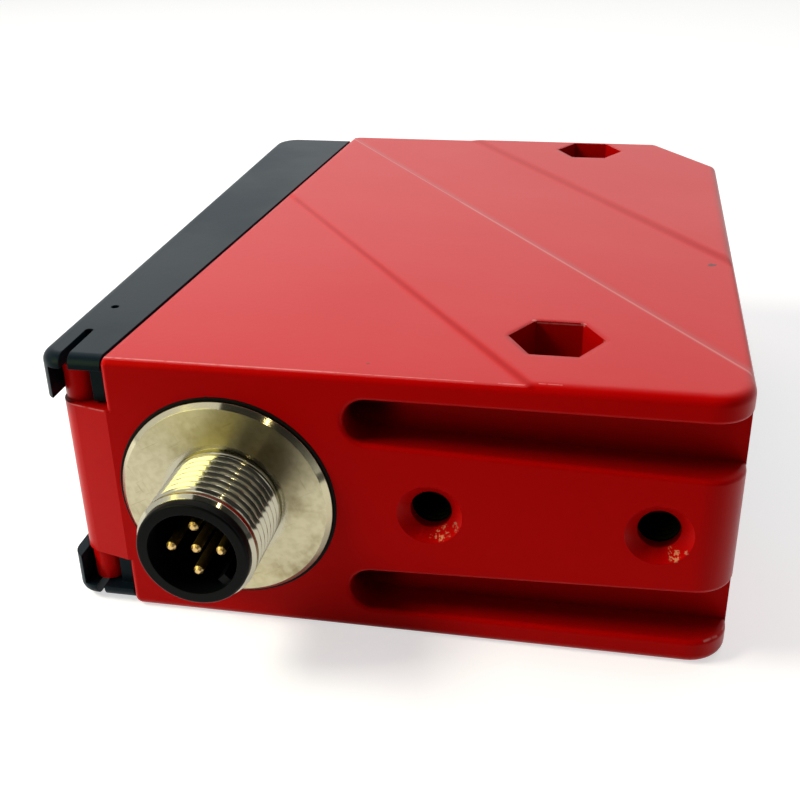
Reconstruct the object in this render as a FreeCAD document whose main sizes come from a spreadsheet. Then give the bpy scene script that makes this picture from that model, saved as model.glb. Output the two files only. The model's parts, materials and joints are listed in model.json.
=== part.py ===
import FreeCAD, Part
import math
import os
import Sketcher

# Driving sizes: millimetres, and degrees for the slant
SIZES = {
    # Die-cast body
    "body_depth": 70.0,
    "body_length": 90.0,
    "body_width": 30.0,
    "wall": 2.5,
    "plug_wall": 3.2,
    "plug_bay": 11.6,
    "block_depth": 10.5,
    "cavity_front": 14.8,
    "corner_cut": 8.6,
    "corner_round": 4.0,
    "front_round": 0.6,
    "far_round": 1.3,
    "edge_round": 1.0,
    "slant": 55.2,
    "band_step": 0.3,
    "band_rise": 0.6,
    "band_slope": 1.2,
    "band_first": 41.2,
    "band_second": 60.3,
    "band_third": 78.6,
    # Two bolt holes across the body, with nut pockets on both sides
    "bolt_from_rear": 18.8,
    "bolt_from_plug": 11.2,
    "bolt_from_far": 5.6,
    "bolt_hole": 5.3,
    "nut_flats": 8.4,
    "nut_pocket": 4.2,
    "boss_wall": 1.75,
    # Tapped holes and clamp grooves of the plug end
    "thread_spacing": 22.3,
    "thread_bore": 4.2,
    "thread_mouth": 6.6,
    "thread_depth": 7.5,
    "groove_start": 31.6,
    "groove_width": 4.7,
    "groove_depth": 4.5,
    "groove_flange": 2.8,
    "groove_draft": 1.2,
    "groove_lip": 0.5,
    # Front frame with its snap fingers
    "frame_near": 6.95,
    "frame_far": 12.1,
    "frame_gap": 0.15,
    "frame_flange": 1.45,
    "frame_lip": 1.2,
    "frame_start": 0.4,
    "frame_end": 1.8,
    "frame_end_wall": 1.3,
    "frame_round": 1.2,
    "frame_near_round": 2.4,
    "frame_far_round": 3.6,
    "frame_cover": 1.1,
    "slot_width": 0.9,
    "slot_length": 6.9,
    "slot_from_front": 2.6,
    "notch_depth": 5.2,
    "notch_clear": 0.7,
    "hook_thick": 1.7,
    "hook_length": 6.4,
    "hook_gap": 0.2,
    "gate_mark": 0.9,
    "gate_mark_from_front": 3.1,
    "gate_mark_from_end": 13.0,
    # Nose that carries the frame and the glass
    "nose_width": 18.0,
    "nose_step": 8.6,
    "nose_gap": 0.25,
    "nose_round": 2.6,
    "nose_slant": 1.5,
    "peg_diameter": 3.5,
    "peg_from_front": 3.25,
    "peg_from_end": 3.5,
    "rim_end": 2.5,
    "rim_side": 1.5,
    "seat_round": 2.1,
    "seat_ledge": 1.2,
    "glass_thick": 1.8,
    "seal_thick": 0.6,
    "fit_gap": 0.1,
    # Optics
    "carrier_air": 0.5,
    "carrier_thick": 5.0,
    "carrier_gap": 0.3,
    "carrier_lug": 5.6,
    "carrier_screw_inset": 2.9,
    "receiver_place": 20.7,
    "transmitter_place": 13.0,
    "box_width": 20.0,
    "box_board_gap": 0.8,
    "box_wall": 1.5,
    "detector_place": 33.0,
    "ear_margin": 2.1,
    "ear_height": 8.0,
    "ear_thick": 4.0,
    "detector_screw_inset": 2.6,
    "lens_wall": 1.4,
    "lens_edge": 1.6,
    "lens_dome": 2.1,
    "lens_seat": 0.5,
    "lens_lip": 1.2,
    "lens_ring_wall": 0.5,
    "lens_ring_length": 1.4,
    "lens_ring_gap": 0.35,
    "tube_outer": 13.0,
    "tube_length": 9.0,
    "barrel_diameter": 9.0,
    "barrel_length": 17.0,
    "barrel_sink": 0.8,
    "barrel_lens_bore": 7.0,
    "barrel_lens_depth": 3.5,
    "barrel_light_bore": 4.4,
    "barrel_diode_bore": 5.8,
    "barrel_diode_depth": 5.0,
    "emitter_lens_edge": 1.2,
    "emitter_lens_dome": 0.9,
    "emitter_ring_wall": 0.8,
    "emitter_ring_length": 1.2,
    "emitter_ring_gap": 0.45,
    "diode_flange": 1.2,
    "diode_can": 2.6,
    "diode_can_diameter": 4.6,
    "diode_sink": 0.6,
    "lead_diameter": 0.45,
    "lead_length": 3.4,
    "lead_circle": 2.54,
    "laser_board_gap": 1.0,
    "laser_board_width": 14.0,
    "laser_board_rise": 6.0,
    "detector_board_width": 30.0,
    "detector_board_rise": 8.5,
    "detector_length": 14.0,
    "detector_height": 5.0,
    "detector_thick": 1.4,
    # Circuit boards and their fastenings
    "board_thick": 1.6,
    "small_board": 1.2,
    "board_stand": 1.1,
    "board_margin": 2.2,
    "board_front_gap": 1.7,
    "board_rear_gap": 4.5,
    "board_screw_inset": 3.0,
    "post_diameter": 5.0,
    "chip_size": 12.0,
    "chip_thick": 1.6,
    "chip_from_rear": 14.5,
    "chip_from_far": 13.6,
    "coil_size": 8.0,
    "coil_thick": 3.0,
    "coil_from_front": 7.5,
    "coil_gap": 1.5,
    "can_diameter": 5.0,
    "can_height": 2.8,
    "can_from_rear": 9.5,
    "can_from_near": 17.0,
    "link_width": 8.0,
    "link_depth": 6.0,
    "link_height": 3.3,
    "screw_core": 1.6,
    "screw_bite": 1.7,
    "screw_pass": 2.2,
    "screw_head": 3.6,
    "screw_head_height": 1.3,
    "screw_length": 4.0,
    # Round plug connector
    "plug_from_front": 19.1,
    "plug_flange": 22.3,
    "plug_flange_rise": 0.85,
    "plug_flange_sink": 0.6,
    "plug_flange_chamfer": 0.7,
    "plug_seat_gap": 0.25,
    "plug_seal": 0.5,
    "plug_thread": 12.0,
    "plug_length": 9.4,
    "plug_tip_chamfer": 0.4,
    "plug_spigot": 14.0,
    "plug_tail": 6.8,
    "plug_bore": 10.1,
    "plug_nut_flats": 17.0,
    "plug_nut_thick": 2.8,
    "insert_rim": 11.2,
    "insert_rise": 0.95,
    "insert_round": 0.25,
    "insert_cavity": 8.9,
    "insert_floor": 2.2,
    "insert_key_width": 1.0,
    "insert_key_height": 0.95,
    "insert_key_sink": 0.5,
    "pin_diameter": 1.0,
    "pin_circle": 5.0,
    "pin_sink": 0.9,
    "pin_tail": 0.5,
    "pin_clear": 0.05,
    "pin_tip": 0.25,
    "plug_board": 13.0,
    "plug_board_thick": 1.0,
    "ribbon_width": 8.0,
    "ribbon_thick": 0.3,
    "ribbon_lap": 4.0,
    "ribbon_top": 3.4,
    # Rear control panel
    "panel_length": 53.0,
    "panel_end_margin": 3.6,
    "panel_rim": 4.0,
    "panel_round": 2.5,
    "panel_sink": 0.8,
    "panel_thick": 1.8,
    "panel_seal": 0.5,
    "panel_ledge": 2.9,
    "panel_ledge_end": 7.0,
    "panel_ledge_side": 2.0,
    "panel_screw_inset": 3.5,
    "panel_screw_head": 3.4,
    "socket_flats": 1.5,
    "socket_depth": 0.6,
    "stand_diameter": 4.5,
    "stand_inset": 2.5,
    "panel_board_gap": 0.5,
    "display_length": 16.0,
    "display_height": 12.0,
    "display_from_end": 6.0,
    "display_frame": 0.8,
    "display_frame_thick": 0.7,
    "key_diameter": 6.0,
    "key_gap": 0.3,
    "key_flange": 0.5,
    "key_flange_thick": 0.8,
    "key_stem": 0.3,
    "key_stem_diameter": 3.0,
    "key_rise": 0.6,
    "key_round": 0.35,
    "key_from_near": 4.0,
    "key_pitch": 8.0,
    "switch_size": 4.4,
    "switch_height": 2.2,
    "plunger_diameter": 2.2,
    "plunger_rise": 0.6,
    "plunger_sink": 0.5,
    "switch_bore_depth": 1.2,
    "guide_diameter": 2.4,
    "guide_collar": 3.4,
    "guide_collar_thick": 1.0,
    "guide_from_near": 9.5,
    "guide_inset": 2.6,
    "lamp_size": 1.6,
    "lamp_height": 1.0,
    "lamp_gap": 0.2,
}

Vector = FreeCAD.Vector
Placement = FreeCAD.Placement
Rotation = FreeCAD.Rotation
Rule = Sketcher.Constraint


class Size:
    """A number together with the sheet expression that gives it."""

    def __init__(self, value, text):
        self.value = value
        self.text = text

    def __add__(self, other):
        other = as_size(other)
        return Size(self.value + other.value, f"({self.text} + {other.text})")

    def __radd__(self, other):
        return as_size(other) + self

    def __sub__(self, other):
        other = as_size(other)
        return Size(self.value - other.value, f"({self.text} - {other.text})")

    def __rsub__(self, other):
        return as_size(other) - self

    def __mul__(self, other):
        other = as_size(other)
        return Size(self.value * other.value, f"({self.text} * {other.text})")

    def __rmul__(self, other):
        return as_size(other) * self

    def __truediv__(self, other):
        other = as_size(other)
        return Size(self.value / other.value, f"({self.text} / {other.text})")

    def __neg__(self):
        return Size(-self.value, f"(0 - {self.text})")


class NamedSizes:
    """Every size of the sheet as an attribute."""

    def __init__(self, numbers):
        for name, number in numbers.items():
            setattr(self, name, Size(number, "sizes." + name))


def as_size(number):
    """Gives a plain number the form of a size."""
    if isinstance(number, Size):
        return number
    return Size(float(number), repr(float(number)))


def tangent(angle):
    """Tangent of an angle in degrees."""
    return Size(math.tan(math.radians(angle.value)), f"tan({angle.text})")


def bind(item, path, size):
    """Ties one property or constraint of a document object to the sheet."""
    if "sizes." in size.text:
        item.setExpression(path, size.text)


doc = FreeCAD.newDocument("distance_sensor")
sheet = doc.addObject("Spreadsheet::Sheet", "sizes")
for row, (size_name, size_number) in enumerate(SIZES.items(), start=1):
    sheet.set(f"A{row}", size_name)
    sheet.set(f"B{row}", str(size_number))
    sheet.setAlias(f"B{row}", size_name)
doc.recompute()
s = NamedSizes(SIZES)

# Lengths are taken from the frame's front, the plug end's face and the lower side face.
DEPTH = s.body_depth
LENGTH = s.body_length
WIDTH = s.body_width
MID = WIDTH / 2
BOLT_X = DEPTH - s.bolt_from_rear
BOLT_NEAR = s.bolt_from_plug
BOLT_FAR = LENGTH - s.bolt_from_far
CUT_RUN = s.corner_cut * tangent(s.slant)

# The part's origin is midway between the bolt holes, halfway through the body.
ORIGIN = (-BOLT_X, -(BOLT_NEAR + BOLT_FAR) / 2, -MID)

# Nose, glass seat and the tunnel behind it
NOSE_FRONT = s.frame_lip + s.fit_gap
NOSE_FAR = LENGTH - s.frame_end - s.frame_end_wall - s.frame_gap
NOSE_WIDE = WIDTH - (s.band_step + s.frame_flange + s.nose_gap) * 2
SEAT_NEAR = s.nose_step + s.rim_end
SEAT_FAR = NOSE_FAR - s.rim_end
SEAT_HALF = NOSE_WIDE / 2 - s.rim_side
SEAT_X = NOSE_FRONT + s.glass_thick + s.seal_thick
TUNNEL_NEAR = SEAT_NEAR + s.seat_ledge
TUNNEL_FAR = SEAT_FAR - s.seat_ledge
TUNNEL_HALF = SEAT_HALF - s.seat_ledge
CARRIER_X = SEAT_X + s.carrier_air
CARRIER_BACK = CARRIER_X + s.carrier_thick

# Cavity of the casting
BOSS_HALF = s.nut_flats / math.sqrt(3) + s.boss_wall
FRONT_IN = s.frame_near + s.frame_gap + s.wall
BLOCK_X = s.groove_start - s.wall
LEDGE_X = DEPTH - s.panel_sink - s.panel_thick - s.panel_seal
REAR_IN = LEDGE_X - s.panel_ledge
FAR_IN = LENGTH - s.wall

# Optical axes and boards
RECEIVER_Y = TUNNEL_NEAR + s.receiver_place
TRANSMITTER_Y = TUNNEL_FAR - s.transmitter_place
BARREL_X = CARRIER_X + s.barrel_sink
LENS_BACK = CARRIER_BACK - s.lens_seat
LENS_DIAMETER = (TUNNEL_HALF - s.carrier_gap - s.lens_wall - s.fit_gap) * 2
SCREW_REACH = s.detector_board_width / 2 - s.detector_screw_inset
BOARD_Z = s.wall + s.board_stand
BOARD_TOP = BOARD_Z + s.board_thick
BOARD_FRONT = s.cavity_front + s.board_front_gap
BOARD_REAR = REAR_IN - s.board_rear_gap
BOARD_NEAR = BOLT_NEAR + BOSS_HALF + s.board_margin
BOARD_FAR = BOLT_FAR - BOSS_HALF - s.board_margin

# Rear panel, from its face inwards
PANEL_FAR = LENGTH - CUT_RUN - s.panel_end_margin
PANEL_NEAR = PANEL_FAR - s.panel_length
PANEL_HALF = MID - s.panel_rim
PANEL_IN = DEPTH - s.panel_sink - s.panel_thick
OPEN_NEAR = PANEL_NEAR + s.panel_ledge_end
OPEN_FAR = PANEL_FAR - s.panel_ledge_end
OPEN_HALF = PANEL_HALF - s.panel_ledge_side
STAND = s.switch_height + s.plunger_rise + s.key_stem + s.key_flange_thick + s.key_gap
PANEL_BOARD_X = PANEL_IN - STAND
KEY_SPOTS = {
    "menu": OPEN_NEAR + s.key_from_near,
    "enter": OPEN_NEAR + s.key_from_near + s.key_pitch,
}
STAND_SPOTS = [
    (OPEN_NEAR + s.stand_inset, MID - OPEN_HALF + s.stand_inset),
    (OPEN_NEAR + s.stand_inset, MID + OPEN_HALF - s.stand_inset),
    (OPEN_FAR - s.stand_inset, MID - OPEN_HALF + s.stand_inset),
    (OPEN_FAR - s.stand_inset, MID + OPEN_HALF - s.stand_inset),
]
GUIDE_SPOTS = [
    (OPEN_NEAR + s.guide_from_near, MID - OPEN_HALF + s.guide_inset),
    (OPEN_NEAR + s.guide_from_near, MID + OPEN_HALF - s.guide_inset),
]
PANEL_SCREWS = [
    (PANEL_NEAR + s.panel_screw_inset, MID),
    (PANEL_FAR - s.panel_screw_inset, MID),
]
BOARD_SCREWS = [
    (BOARD_FRONT + s.board_screw_inset, BOARD_FAR - s.board_screw_inset),
    (BOARD_REAR - s.board_screw_inset, BOARD_FAR - s.board_screw_inset),
    (BOARD_REAR - s.board_screw_inset, BOARD_NEAR + s.board_screw_inset),
    (s.detector_place + s.small_board + s.board_screw_inset, BOARD_NEAR + s.board_screw_inset),
]
CARRIER_SCREWS = [
    (TUNNEL_NEAR + s.carrier_screw_inset, MID),
    (TUNNEL_FAR - s.carrier_screw_inset, MID),
]
DETECTOR_SCREWS = [
    (RECEIVER_Y - SCREW_REACH, MID),
    (RECEIVER_Y + SCREW_REACH, MID),
]
PIN_SPOTS = [
    (0, 0),
    (s.pin_circle / 2, 0),
    (0, s.pin_circle / 2),
    (-s.pin_circle / 2, 0),
    (0, -s.pin_circle / 2),
]


def front_line(along):
    """Slanted front edge of the body at a distance along its length."""
    return s.frame_near + s.frame_gap + (s.frame_far - s.frame_near) * along / LENGTH


def frame_line(along):
    """Inner edge of the frame, which follows the body's front edge."""
    return front_line(along) - s.frame_gap


def trace(sketch, corners):
    """Draws one closed outline.

    A corner is (u, v) where a line follows, or (u, v, centre_u, centre_v, turn) where an
    arc follows; turn is 1 for counter-clockwise and -1 for clockwise.
    """
    corners = [tuple(as_size(part) for part in corner) for corner in corners]
    segments = []
    for index, corner in enumerate(corners):
        after = corners[(index + 1) % len(corners)]
        begin = Vector(corner[0].value, corner[1].value, 0)
        end = Vector(after[0].value, after[1].value, 0)
        if len(corner) == 2:
            number = sketch.addGeometry(Part.LineSegment(begin, end), False)
            segments.append((number, 1, 2))
            continue
        centre = Vector(corner[2].value, corner[3].value, 0)
        first, last = (begin, end) if corner[4].value > 0 else (end, begin)
        circle = Part.Circle(centre, Vector(0, 0, 1), (begin - centre).Length)
        angles = [math.atan2(spot.y - centre.y, spot.x - centre.x) for spot in (first, last)]
        if angles[1] <= angles[0]:
            angles[1] += 2 * math.pi
        number = sketch.addGeometry(Part.ArcOfCircle(circle, angles[0], angles[1]), False)
        segments.append((number, 1, 2) if corner[4].value > 0 else (number, 2, 1))
    for index, segment in enumerate(segments):
        after = segments[(index + 1) % len(segments)]
        sketch.addConstraint(Rule("Coincident", segment[0], segment[2], after[0], after[1]))
    for index, (corner, segment) in enumerate(zip(corners, segments)):
        hold(sketch, "DistanceX", segment[0], segment[1], corner[0])
        hold(sketch, "DistanceY", segment[0], segment[1], corner[1])
        if len(corner) == 2:
            continue
        after = corners[(index + 1) % len(corners)]
        upright = abs(after[1].value - corner[1].value) >= abs(after[0].value - corner[0].value)
        hold(sketch, "DistanceX" if upright else "DistanceY", segment[0], 3, corner[2 if upright else 3])


def hold(sketch, kind, geometry, point, size):
    """Fixes one coordinate of a point from the sketch's origin."""
    number = sketch.addConstraint(Rule(kind, -1, 1, geometry, point, size.value))
    bind(sketch, f"Constraints[{number}]", size)


def circle(sketch, u, v, diameter):
    """Draws a circle."""
    u, v, diameter = as_size(u), as_size(v), as_size(diameter)
    shape = Part.Circle(Vector(u.value, v.value, 0), Vector(0, 0, 1), diameter.value / 2)
    number = sketch.addGeometry(shape, False)
    hold(sketch, "DistanceX", number, 3, u)
    hold(sketch, "DistanceY", number, 3, v)
    rule = sketch.addConstraint(Rule("Diameter", number, diameter.value))
    bind(sketch, f"Constraints[{rule}]", diameter)


def rectangle(sketch, u_low, v_low, u_high, v_high):
    """Draws an upright rectangle."""
    trace(sketch, [(u_low, v_low), (u_high, v_low), (u_high, v_high), (u_low, v_high)])


def rounded(sketch, u_low, v_low, u_high, v_high, radius):
    """Draws an upright rectangle with round corners."""
    left, right = u_low + radius, u_high - radius
    low, high = v_low + radius, v_high - radius
    trace(sketch, [
        (left, v_low), (right, v_low, right, low, 1),
        (u_high, low), (u_high, high, right, high, 1),
        (right, v_high), (left, v_high, left, high, 1),
        (u_low, high), (u_low, low, left, low, 1),
    ])


def hexagon(sketch, u, v, flats):
    """Draws a hexagon with two corners along u."""
    corner, side, flat = flats / math.sqrt(3), flats / math.sqrt(12), flats / 2
    trace(sketch, [
        (u + corner, v), (u + side, v + flat), (u - side, v + flat),
        (u - corner, v), (u - side, v - flat), (u + side, v - flat),
    ])


def hexagon_on_corner(sketch, flats):
    """Draws a hexagon about the origin with two corners along v."""
    corner, side, flat = flats / math.sqrt(3), flats / math.sqrt(12), flats / 2
    trace(sketch, [
        (flat, -side), (flat, side), (0, corner), (-flat, side), (-flat, -side), (0, -corner),
    ])


class Piece:
    """One sub-part: a body with its own sketches and features."""

    made = []

    def __init__(self, label, place=(0, 0, 0)):
        self.body = doc.addObject("PartDesign::Body", label)
        self.body.Label = label
        spot = [shift + as_size(part) for shift, part in zip(ORIGIN, place)]
        self.body.Placement = Placement(Vector(*[size.value for size in spot]), Rotation())
        for axis, size in zip("xyz", spot):
            bind(self.body, "Placement.Base." + axis, size)
        Piece.made.append(self.body)

    def sketch(self, name, plane="XY", at=(0, 0, 0)):
        """Adds a sketch on an origin plane, moved by sizes along the plane's own axes."""
        item = self.body.newObject("Sketcher::SketchObject", name)
        support = [part for part in self.body.Origin.OriginFeatures if part.Role == plane + "_Plane"]
        item.AttachmentSupport = [(support[0], "")]
        item.MapMode = "FlatFace"
        spot = [as_size(part) for part in at]
        item.AttachmentOffset = Placement(Vector(*[size.value for size in spot]), Rotation())
        for axis, size in zip("xyz", spot):
            bind(item, "AttachmentOffset.Base." + axis, size)
        return item

    def feature(self, kind, name, profile):
        """Adds a sketch-based feature and leaves its extent to the caller."""
        item = self.body.newObject("PartDesign::" + kind, name)
        item.Profile = profile
        return item

    def pad(self, name, profile, length, both=False, back=False):
        """Raises a sketch; both goes to either side of it and back against its normal."""
        return self.extrude("Pad", name, profile, length, both, back)

    def pocket(self, name, profile, depth, both=False, back=False):
        """Cuts a sketch against its normal; both cuts to either side and back along it."""
        before = self.volume()
        item = self.extrude("Pocket", name, profile, depth, both, back)
        self.must_shrink(name, before)
        return item

    def extrude(self, kind, name, profile, length, both, back):
        length = as_size(length)
        item = self.feature(kind, name, profile)
        item.Length = length.value
        bind(item, "Length", length)
        if both:
            item.SideType = "Symmetric"
        item.Reversed = back
        doc.recompute()
        return item

    def revolve(self, name, profile, axis):
        """Turns a sketch about one of its own axes."""
        return self.turn("Revolution", name, profile, axis)

    def bore(self, name, profile, axis):
        """Cuts a turned profile."""
        before = self.volume()
        item = self.turn("Groove", name, profile, axis)
        self.must_shrink(name, before)
        return item

    def turn(self, kind, name, profile, axis):
        item = self.feature(kind, name, profile)
        item.ReferenceAxis = (profile, [axis + "_Axis"])
        item.Angle = 360
        doc.recompute()
        return item

    def fillet(self, name, radius, wanted):
        """Rounds the edges that the test picks."""
        base = self.body.Tip
        edges = [f"Edge{n}" for n, edge in enumerate(base.Shape.Edges, start=1) if wanted(edge)]
        if not edges:
            raise RuntimeError("no edge to round: " + name)
        item = self.body.newObject("PartDesign::Fillet", name)
        item.Base = (base, edges)
        item.Radius = radius.value
        bind(item, "Radius", radius)
        doc.recompute()
        return item

    def volume(self):
        return self.body.Shape.Volume

    def must_shrink(self, name, before):
        if self.volume() >= before - 1e-6:
            raise RuntimeError("cut removes nothing: " + name)


def upright(edge, x, y):
    """True for an edge along Z that stands at x, y."""
    box = edge.BoundBox
    near = math.hypot(box.Center.x - x.value, box.Center.y - y.value) < 0.05
    return near and box.ZLength > 1 and box.XLength < 0.01 and box.YLength < 0.01


def level(edge, *heights):
    """True for an edge that lies flat at one of the heights."""
    box = edge.BoundBox
    return box.ZLength < 1e-4 and any(abs(box.ZMin - height.value) < 1e-4 for height in heights)


def on_mouth(edge, start, low, high):
    """True for an edge in the plug end's face, past start and between two heights."""
    box = edge.BoundBox
    inside = box.XMin > start - 0.01 and box.ZMin > low - 0.01 and box.ZMax < high + 0.01
    return inside and abs(box.YMax) < 1e-4


def screw_along_x(piece, name, at, toward, length, head):
    """Adds a pan-head screw along X, with its seat at a point and its head on the other side."""
    profile = piece.sketch(name + "_half", "XY", at)
    tip = length * toward
    rise = s.screw_head_height * -toward
    trace(profile, [
        (tip, 0), (tip, s.screw_core / 2), (0, s.screw_core / 2),
        (0, head / 2), (rise, head / 2), (rise, 0),
    ])
    piece.revolve(name, profile, "H")


def make_housing():
    """Die-cast body with its nose, pegs, pockets, holes and clamp grooves."""
    piece = Piece("housing")
    outline = piece.sketch("outline")
    corners = [
        (front_line(as_size(0)), as_size(0)),
        (DEPTH, as_size(0)),
        (DEPTH, LENGTH - CUT_RUN),
        (DEPTH - s.corner_cut, LENGTH),
        (front_line(LENGTH), LENGTH),
    ]
    trace(outline, corners)
    piece.pad("block", outline, WIDTH)
    piece.fillet("rear_corner", s.corner_round, lambda edge: upright(edge, *corners[1]))
    piece.fillet("front_corner", s.front_round, lambda edge: upright(edge, *corners[0]))
    piece.fillet("far_corners", s.far_round,
                 lambda edge: any(upright(edge, *corner) for corner in corners[2:]))
    piece.fillet("side_edges", s.edge_round, lambda edge: level(edge, as_size(0), WIDTH))

    # The nose is narrow beside the snap pegs and wide where it carries the glass.
    narrow = piece.sketch("nose_near", "XY", (0, 0, MID))
    nose_back = s.nose_step + s.rim_end
    trace(narrow, [
        (NOSE_FRONT, s.nose_slant), corners[0], (s.cavity_front, 0), (s.cavity_front, nose_back),
        (NOSE_FRONT, nose_back),
    ])
    piece.pad("nose_near_block", narrow, s.nose_width, both=True)
    piece.fillet("nose_near_round", s.nose_round,
                 lambda edge: upright(edge, NOSE_FRONT, s.nose_slant))
    wide = piece.sketch("nose", "XY", (0, 0, MID))
    rectangle(wide, NOSE_FRONT, s.nose_step, s.cavity_front, NOSE_FAR)
    piece.pad("nose_block", wide, NOSE_WIDE, both=True)
    piece.fillet("nose_far_round", s.nose_round,
                 lambda edge: upright(edge, NOSE_FRONT, NOSE_FAR))
    pegs = piece.sketch("pegs", "XY", (0, 0, MID))
    circle(pegs, s.peg_from_front, s.peg_from_end, s.peg_diameter)
    piece.pad("snap_pegs", pegs, NOSE_WIDE + s.fit_gap * 2, both=True)

    # Hollow core, left solid behind the grooves and around the bolt holes
    hollow = piece.sketch("cavity", "XY", (0, 0, MID))
    trace(hollow, [
        (FRONT_IN, s.plug_wall), (BLOCK_X, s.plug_wall), (BLOCK_X, s.block_depth),
        (BOLT_X - BOSS_HALF, s.block_depth), (BOLT_X - BOSS_HALF, BOLT_NEAR + BOSS_HALF),
        (BOLT_X + BOSS_HALF, BOLT_NEAR + BOSS_HALF), (BOLT_X + BOSS_HALF, s.block_depth),
        (REAR_IN, s.block_depth), (REAR_IN, BOLT_FAR - BOSS_HALF),
        (BOLT_X - BOSS_HALF, BOLT_FAR - BOSS_HALF), (BOLT_X - BOSS_HALF, FAR_IN),
        (s.cavity_front, FAR_IN), (s.cavity_front, s.plug_bay), (FRONT_IN, s.plug_bay),
    ])
    piece.pocket("cavity_core", hollow, WIDTH - s.wall * 2, both=True)
    posts = piece.sketch("posts", "XY", (0, 0, s.wall))
    for x, y in BOARD_SCREWS:
        circle(posts, x, y, s.post_diameter)
    piece.pad("board_posts", posts, s.board_stand)
    post_holes = piece.sketch("post_holes", "XY", (0, 0, BOARD_Z))
    for x, y in BOARD_SCREWS:
        circle(post_holes, x, y, s.screw_bite)
    piece.pocket("post_bores", post_holes, s.screw_length - s.board_thick + s.carrier_gap)

    # Glass seat and the tunnel for the optics
    seat = piece.sketch("glass_seat", "YZ", (0, 0, NOSE_FRONT))
    rounded(seat, SEAT_NEAR, MID - SEAT_HALF, SEAT_FAR, MID + SEAT_HALF, s.seat_round)
    piece.pocket("glass_recess", seat, s.glass_thick + s.seal_thick, back=True)
    mouth = piece.sketch("tunnel_mouth", "YZ", (0, 0, SEAT_X))
    rectangle(mouth, TUNNEL_NEAR, MID - TUNNEL_HALF, TUNNEL_FAR, MID + TUNNEL_HALF)
    piece.pocket("tunnel_front", mouth, CARRIER_BACK - SEAT_X, back=True)
    throat = piece.sketch("tunnel_throat", "YZ", (0, 0, CARRIER_BACK))
    rectangle(throat, TUNNEL_NEAR + s.carrier_lug, MID - TUNNEL_HALF,
              TUNNEL_FAR - s.carrier_lug, MID + TUNNEL_HALF)
    piece.pocket("tunnel_rear", throat, s.cavity_front - CARRIER_BACK, back=True)
    lugs = piece.sketch("lug_holes", "YZ", (0, 0, CARRIER_BACK))
    for y, z in CARRIER_SCREWS:
        circle(lugs, y, z, s.screw_bite)
    piece.pocket("lug_bores", lugs, s.screw_length, back=True)

    # Seat and opening of the control panel
    panel = piece.sketch("panel_seat", "YZ", (0, 0, DEPTH))
    gap = s.fit_gap
    rounded(panel, PANEL_NEAR - gap, MID - PANEL_HALF - gap, PANEL_FAR + gap, MID + PANEL_HALF + gap,
            s.panel_round + gap)
    piece.pocket("panel_recess", panel, DEPTH - LEDGE_X)
    opening = piece.sketch("panel_opening", "YZ", (0, 0, LEDGE_X))
    rectangle(opening, OPEN_NEAR, MID - OPEN_HALF, OPEN_FAR, MID + OPEN_HALF)
    piece.pocket("panel_window", opening, s.panel_ledge)
    ledge = piece.sketch("ledge_holes", "YZ", (0, 0, LEDGE_X))
    for y, z in PANEL_SCREWS:
        circle(ledge, y, z, s.screw_bite)
    piece.pocket("ledge_bores", ledge, s.panel_ledge)

    # Bolt holes with a nut pocket at each end
    bolts = piece.sketch("bolt_holes", "XY", (0, 0, WIDTH))
    upper = piece.sketch("upper_nuts", "XY", (0, 0, WIDTH))
    lower = piece.sketch("lower_nuts")
    for y in (BOLT_NEAR, BOLT_FAR):
        circle(bolts, BOLT_X, y, s.bolt_hole)
        hexagon(upper, BOLT_X, y, s.nut_flats)
        hexagon(lower, BOLT_X, y, s.nut_flats)
    piece.pocket("bolt_bores", bolts, WIDTH)
    piece.pocket("upper_nut_pockets", upper, s.nut_pocket)
    piece.pocket("lower_nut_pockets", lower, s.nut_pocket, back=True)

    # Plug end: connector seat, tapped holes and the two clamp grooves
    seat_profile = piece.sketch("plug_seat", "XY", (s.plug_from_front, 0, MID))
    seat_radius = s.plug_flange / 2 + s.plug_seat_gap
    bore_radius = s.plug_spigot / 2 + s.fit_gap
    seat_floor = s.plug_flange_sink + s.plug_seal
    trace(seat_profile, [
        (0, 0), (seat_radius, 0), (seat_radius, seat_floor),
        (bore_radius, seat_floor), (bore_radius, s.plug_wall), (0, s.plug_wall),
    ])
    piece.bore("plug_seat_bore", seat_profile, "V")
    for side, name in ((-1, "first"), (1, "second")):
        x = BOLT_X + s.thread_spacing / 2 * side
        hole = piece.sketch(name + "_thread", "XY", (x, 0, MID))
        sink = (s.thread_mouth - s.thread_bore) / 2
        trace(hole, [
            (0, 0), (s.thread_mouth / 2, 0), (s.thread_bore / 2, sink),
            (s.thread_bore / 2, s.thread_depth), (0, s.thread_depth + s.thread_bore / 4),
        ])
        piece.bore(name + "_thread_bore", hole, "V")
    for side, name in ((1, "upper"), (-1, "lower")):
        groove = piece.sketch(name + "_groove", "XZ")
        outer = MID + (MID - s.groove_flange) * side
        inner = outer - s.groove_width * side
        deep = inner - s.groove_draft * side
        bend = s.groove_start + s.groove_width / 2
        trace(groove, [
            (bend, outer), (DEPTH, outer), (DEPTH, deep),
            (bend, inner, bend, (outer + inner) / 2, -side),
        ])
        piece.pocket(name + "_groove_cut", groove, s.groove_depth)
        low, high = sorted((outer.value, deep.value))
        piece.fillet(name + "_groove_lips", s.groove_lip,
                     lambda edge: on_mouth(edge, s.groove_start.value, low, high))

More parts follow.
